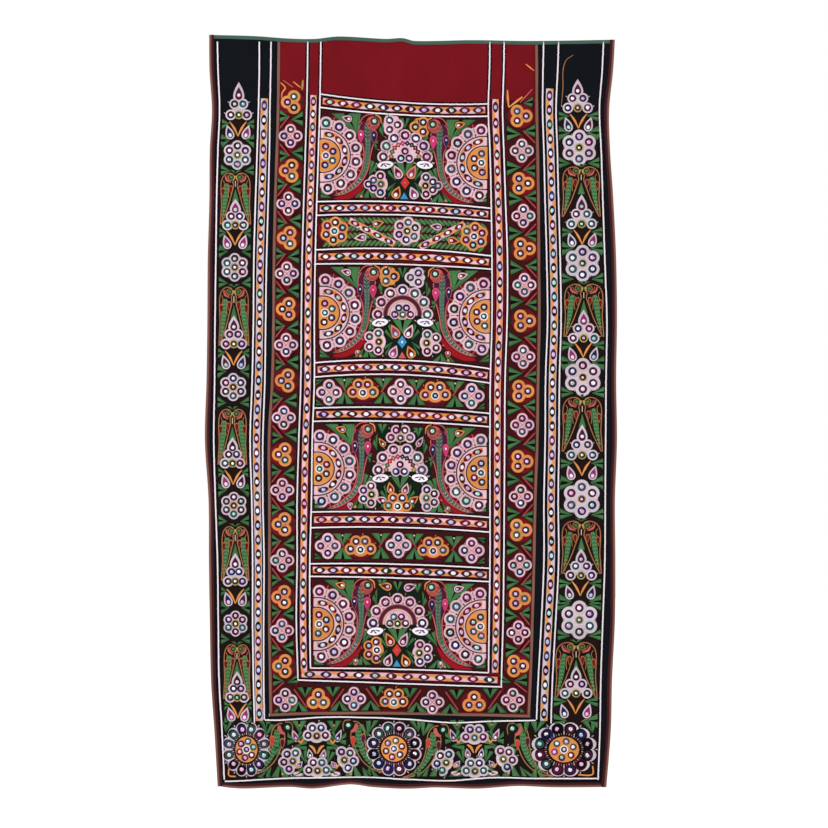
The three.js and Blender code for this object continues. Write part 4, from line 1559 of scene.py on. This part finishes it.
# A foot bird stands with its head at the line and its tail laid under the big rosette beside it.
def footBird(x, z, sign):
    lines = {name: mirrored(x, z, sign, *places) for name, places in footBirdLines.items()}
    path = smoothPath(lines["body"])
    band("green", path, np.array([15, 19, 15, 11, 4]), 1.0)
    ahead = np.gradient(path, axis=0)
    for k in range(1, len(path) - 1):
        heading = np.arctan2(ahead[k, 1], ahead[k, 0])
        for turn in (-1, 1):
            px = path[k, 0] - np.sin(heading) * turn * 3.0
            pz = path[k, 1] + np.cos(heading) * turn * 3.0
            put("chip", ("sage", "pine")[k % 2], px, pz, 3.4, 1.1, heading - turn * 0.7, 1.3)
    for name in ("back", "front"):
        stroke("tan", lines[name], 3.2, 1.2)
    stroke("salmon", lines["collar"], np.array([8, 13, 6]), 1.2)
    for (px, pz), colour in zip(sorted(lines["wings"]), ("red", "plum")):
        put("drop", "tan", px, pz, 7.4, 15, np.pi, 1.2)
        put("drop", colour, px, pz, 5.8, 12.5, np.pi, 1.5)
    put("ring", "pine", x, z, 10.0, rise=1.9)
    glass(x, z, 5.9, tint="mint")
    stroke("tan", lines["head"], 2.8, 1.2)


# One side of the middle of a foot group: an arm of the V, three drops, two sprigs and an eye shape.
def groupSide(x, z, sign):
    stroke("orange", mirrored(x, z, sign, (18, 16), (9, 10), (2, -4)), np.array([4, 8, 7, 4]), 1.2)
    drop(x + sign * 17, z - 4, 17, 25, "lilac", anyOf("navy", "plum", "magenta"), -sign * 0.2)
    drop(x + sign * 54, z + 40, 18, 36, "lilac", anyOf("navy", "magenta"), -sign * 0.4)
    drop(x + sign * 41, z - 30, 15, 20, "lilac", anyOf("navy", "magenta"), sign * 0.7)
    for px, pz in ((38, 20), (47, -40)):
        for lean in (0.9, 2.0):
            sprig = mirrored(x, z, sign, (px, pz), polar(px, pz, 16, lean))
            stroke("orange", sprig, np.array([7, 6, 2]), 1.1)
    ex, ez = x + sign * 46, z - 54
    put("lens", "black", ex, ez, 15, 8, sign * 0.1, 0.8)
    put("lens", "pink", ex, ez, 13, 6.4, sign * 0.1, 1.2)
    put("chip", "navy", ex, ez, 5, 1.6, 0.3, 1.7)


for group in foot["groups"]:
    x, z = group["middle"]
    for sign in (-1, 1):
        for places in foot["leaves"]:
            leaves(*mirrored(x, z, sign, *places), 0.2)
        dot(x + sign * 42, z + 65, "orange", 2.6)
        dot(x + sign * 84, z - 54, "orange", 2.8)
    for bx, bz, sign in group["birds"]:
        footBird(bx, bz, sign)
    for fx, fz, turn in group["fans"]:
        fan(*polar(fx, fz, -5, turn), "lilac", turn, 21.2, radius=14.8)
    for sign in (-1, 1):
        groupSide(x, z, sign)
for x, z, size in foot["rosettes"]:
    for sign in (-1, 1):
        inField = abs(x + sign * 60) < 420      # the outer corners have a mark in place of lower leaves
        for up in (1, -1) if inField else (1,):
            leaves((x + sign * 36 * size, z + up * 70), (x + sign * 70 * size, z + up * 68),
                   (x + sign * 60 * size, z + up * 40), 0.2)
    bigRosette(x, z, size)
for points in foot["corners"]:
    stroke("orange", points, 5.0, 1.0, 1.4)
stroke("tan", [(416, -1674), (440, -1659)], 3.0, 1.0)
print("foot border sewn")

# Every bag and every band of one colour becomes one joined mesh; the white lines have their own.
for (unit, colour), rows in bags.items():
    key = "whiteLine" if (unit, colour) == ("grain", "white") else colour
    wind(key, *layUnit(units[unit], rows))
points, faces, uv, tone = layUnit(units["grain"], reverse)
points[:, 1] = 2 * drape(points[:, 0], points[:, 2]) - points[:, 1]
wind("white", points, faces[:, ::-1], uv, tone)


# Joins parts end to end: the faces of each count on from the points before it.
def joinParts(parts):
    starts = np.cumsum([0] + [len(part[0]) for part in parts])
    points, faces, uv, tone = zip(*parts)
    faces = [part + start for part, start in zip(faces, starts)]
    return tuple(np.concatenate(kind) for kind in (points, faces, uv, tone))


total = 0
for colour, parts in sorted(spools.items()):
    points, faces, uv, tone = joinParts(parts)
    paint = threads["white" if colour == "whiteLine" else colour]
    material = threadMaterial(colour + "Thread", paint)
    makeObject("stitch_" + colour, points, faces, material, uv, tone)
    total += len(faces)


# A mirror is a thin flat disc: an upper ring a little in from the rim, the rim, and a middle point below.
def discUnit(sides):
    step = np.arange(sides)
    ahead = (step + 1) % sides
    plan = np.concatenate([circle(sides) * 0.94, circle(sides), np.zeros((1, 2))])
    inside = np.arange(1, sides - 1)
    faces = [np.stack([0 * inside, inside, inside + 1], -1),
             np.stack([step, sides + step, sides + ahead], -1),
             np.stack([step, sides + ahead, ahead], -1),
             np.stack([np.full(sides, 2 * sides), sides + ahead, sides + step], -1)]
    level = np.concatenate([np.ones(sides), np.zeros(sides + 1)])
    return {"plan": plan, "faces": np.concatenate(faces), "level": level}


# Lays the mirrors flat at the cloth's height at their middles, each with a tilt and a tone of its own.
def layMirrors(unit, rows):
    x, z, width, height, turn, rise = np.array(rows, float).T[:, :, None]
    a = unit["plan"][None, :, 0] * width
    b = unit["plan"][None, :, 1] * height
    px = x + a * np.cos(turn) - b * np.sin(turn)
    pz = z + a * np.sin(turn) + b * np.cos(turn)
    level = unit["level"][None, :]
    count, size = px.shape
    tilt = chance.normal(0, 0.05, (count, 2))
    lift = level * (rise + tilt[:, :1] * a + tilt[:, 1:] * b) - stitch["sink"] * (1 - level)
    points = np.stack([px, frontOf(x, z) - lift, pz], -1).reshape(-1, 3)
    faces = (unit["faces"][None] + (np.arange(count) * size)[:, None, None]).reshape(-1, 3)
    return points, faces, np.repeat(chance.uniform(0, 1, count), size)


mirrorDisc = discUnit(12)
for tint, colour in glassTints.items():
    points, faces, tone = layMirrors(mirrorDisc, [row for name, row in mirrors if name == tint])
    material = glassMaterial(tint + "Glass", colour)
    makeObject("mirrors_" + tint, points, faces, material, tone=tone)
    total += len(faces)
print("mirrors", len(mirrors), "triangles of stitching and glass", total)

# Stage in metres: a pale floor, a white surround and two soft lights.
stage = {
    "floorHalf": 9, "floorHeight": -2.05, "floorGlow": 0.3,
    "floorTones": ((0.8, 0.8, 0.8, 1.0), (0.82, 0.82, 0.82, 1.0)),
    "white": (1.0, 1.0, 1.0, 1.0),
    "aim": (0.0, 0.0, -0.9),
}
lights = {
    "key": {"place": (-2.4, -3.2, 1.2), "size": 1.6, "power": 45.0},
    "fill": {"place": (2.8, -3.0, -0.4), "size": 2.2, "power": 10.0},
}
view = {"place": (0.006, -6.0, -0.921), "sensor": 36.0, "seen": 2.0286}     # seen is the width at the hanging

scene = bpy.context.scene
half, low = stage["floorHalf"], stage["floorHeight"]
floorMesh = bpy.data.meshes.new("floor")
floorMesh.from_pydata([(-half, -half, low), (half, -half, low), (half, half, low), (-half, half, low)], [],
                      [(0, 1, 2, 3)])
floor = bpy.data.objects.new("floor", floorMesh)
scene.collection.objects.link(floor)
floorMaterial, tree, surface = newMaterial("floorPaint", 0.9)
speckle = noise(tree, addNode(tree, "TexCoord", {})["Object"], 3.0)
setInputs(tree, surface, {"Base Color": mixColours(tree, speckle, *stage["floorTones"]),
                          "Emission Color": stage["white"], "Emission Strength": stage["floorGlow"]})
floorMesh.materials.append(floorMaterial)

world = bpy.data.worlds.new("studio")
scene.world = world
world.use_nodes = True
setInputs(world.node_tree, world.node_tree.nodes["Background"], {"Color": stage["white"], "Strength": 1.0})

# Each light is turned so that its own -Z axis points at the middle of the hanging.
for name, plan in lights.items():
    lamp = bpy.data.lights.new(name, "AREA")
    lamp.energy = plan["power"]
    lamp.size = plan["size"]
    holder = bpy.data.objects.new(name, lamp)
    scene.collection.objects.link(holder)
    holder.location = plan["place"]
    aim = np.array(stage["aim"]) - np.array(plan["place"])
    tip = float(np.arctan2(float(np.hypot(aim[0], aim[1])), -aim[2]))
    turn = float(np.arctan2(aim[1], aim[0])) - upward
    holder.rotation_mode = "XYZ"
    holder.rotation_euler = (tip, 0.0, turn)

camera = bpy.data.objects.new("camera", bpy.data.cameras.new("camera"))
scene.collection.objects.link(camera)
camera.location = view["place"]
camera.rotation_euler = (upward, 0.0, 0.0)
camera.data.sensor_width = view["sensor"]
camera.data.lens = view["sensor"] * -view["place"][1] / view["seen"]
scene.camera = camera
scene.view_settings.view_transform = "Standard"
print("stage set")
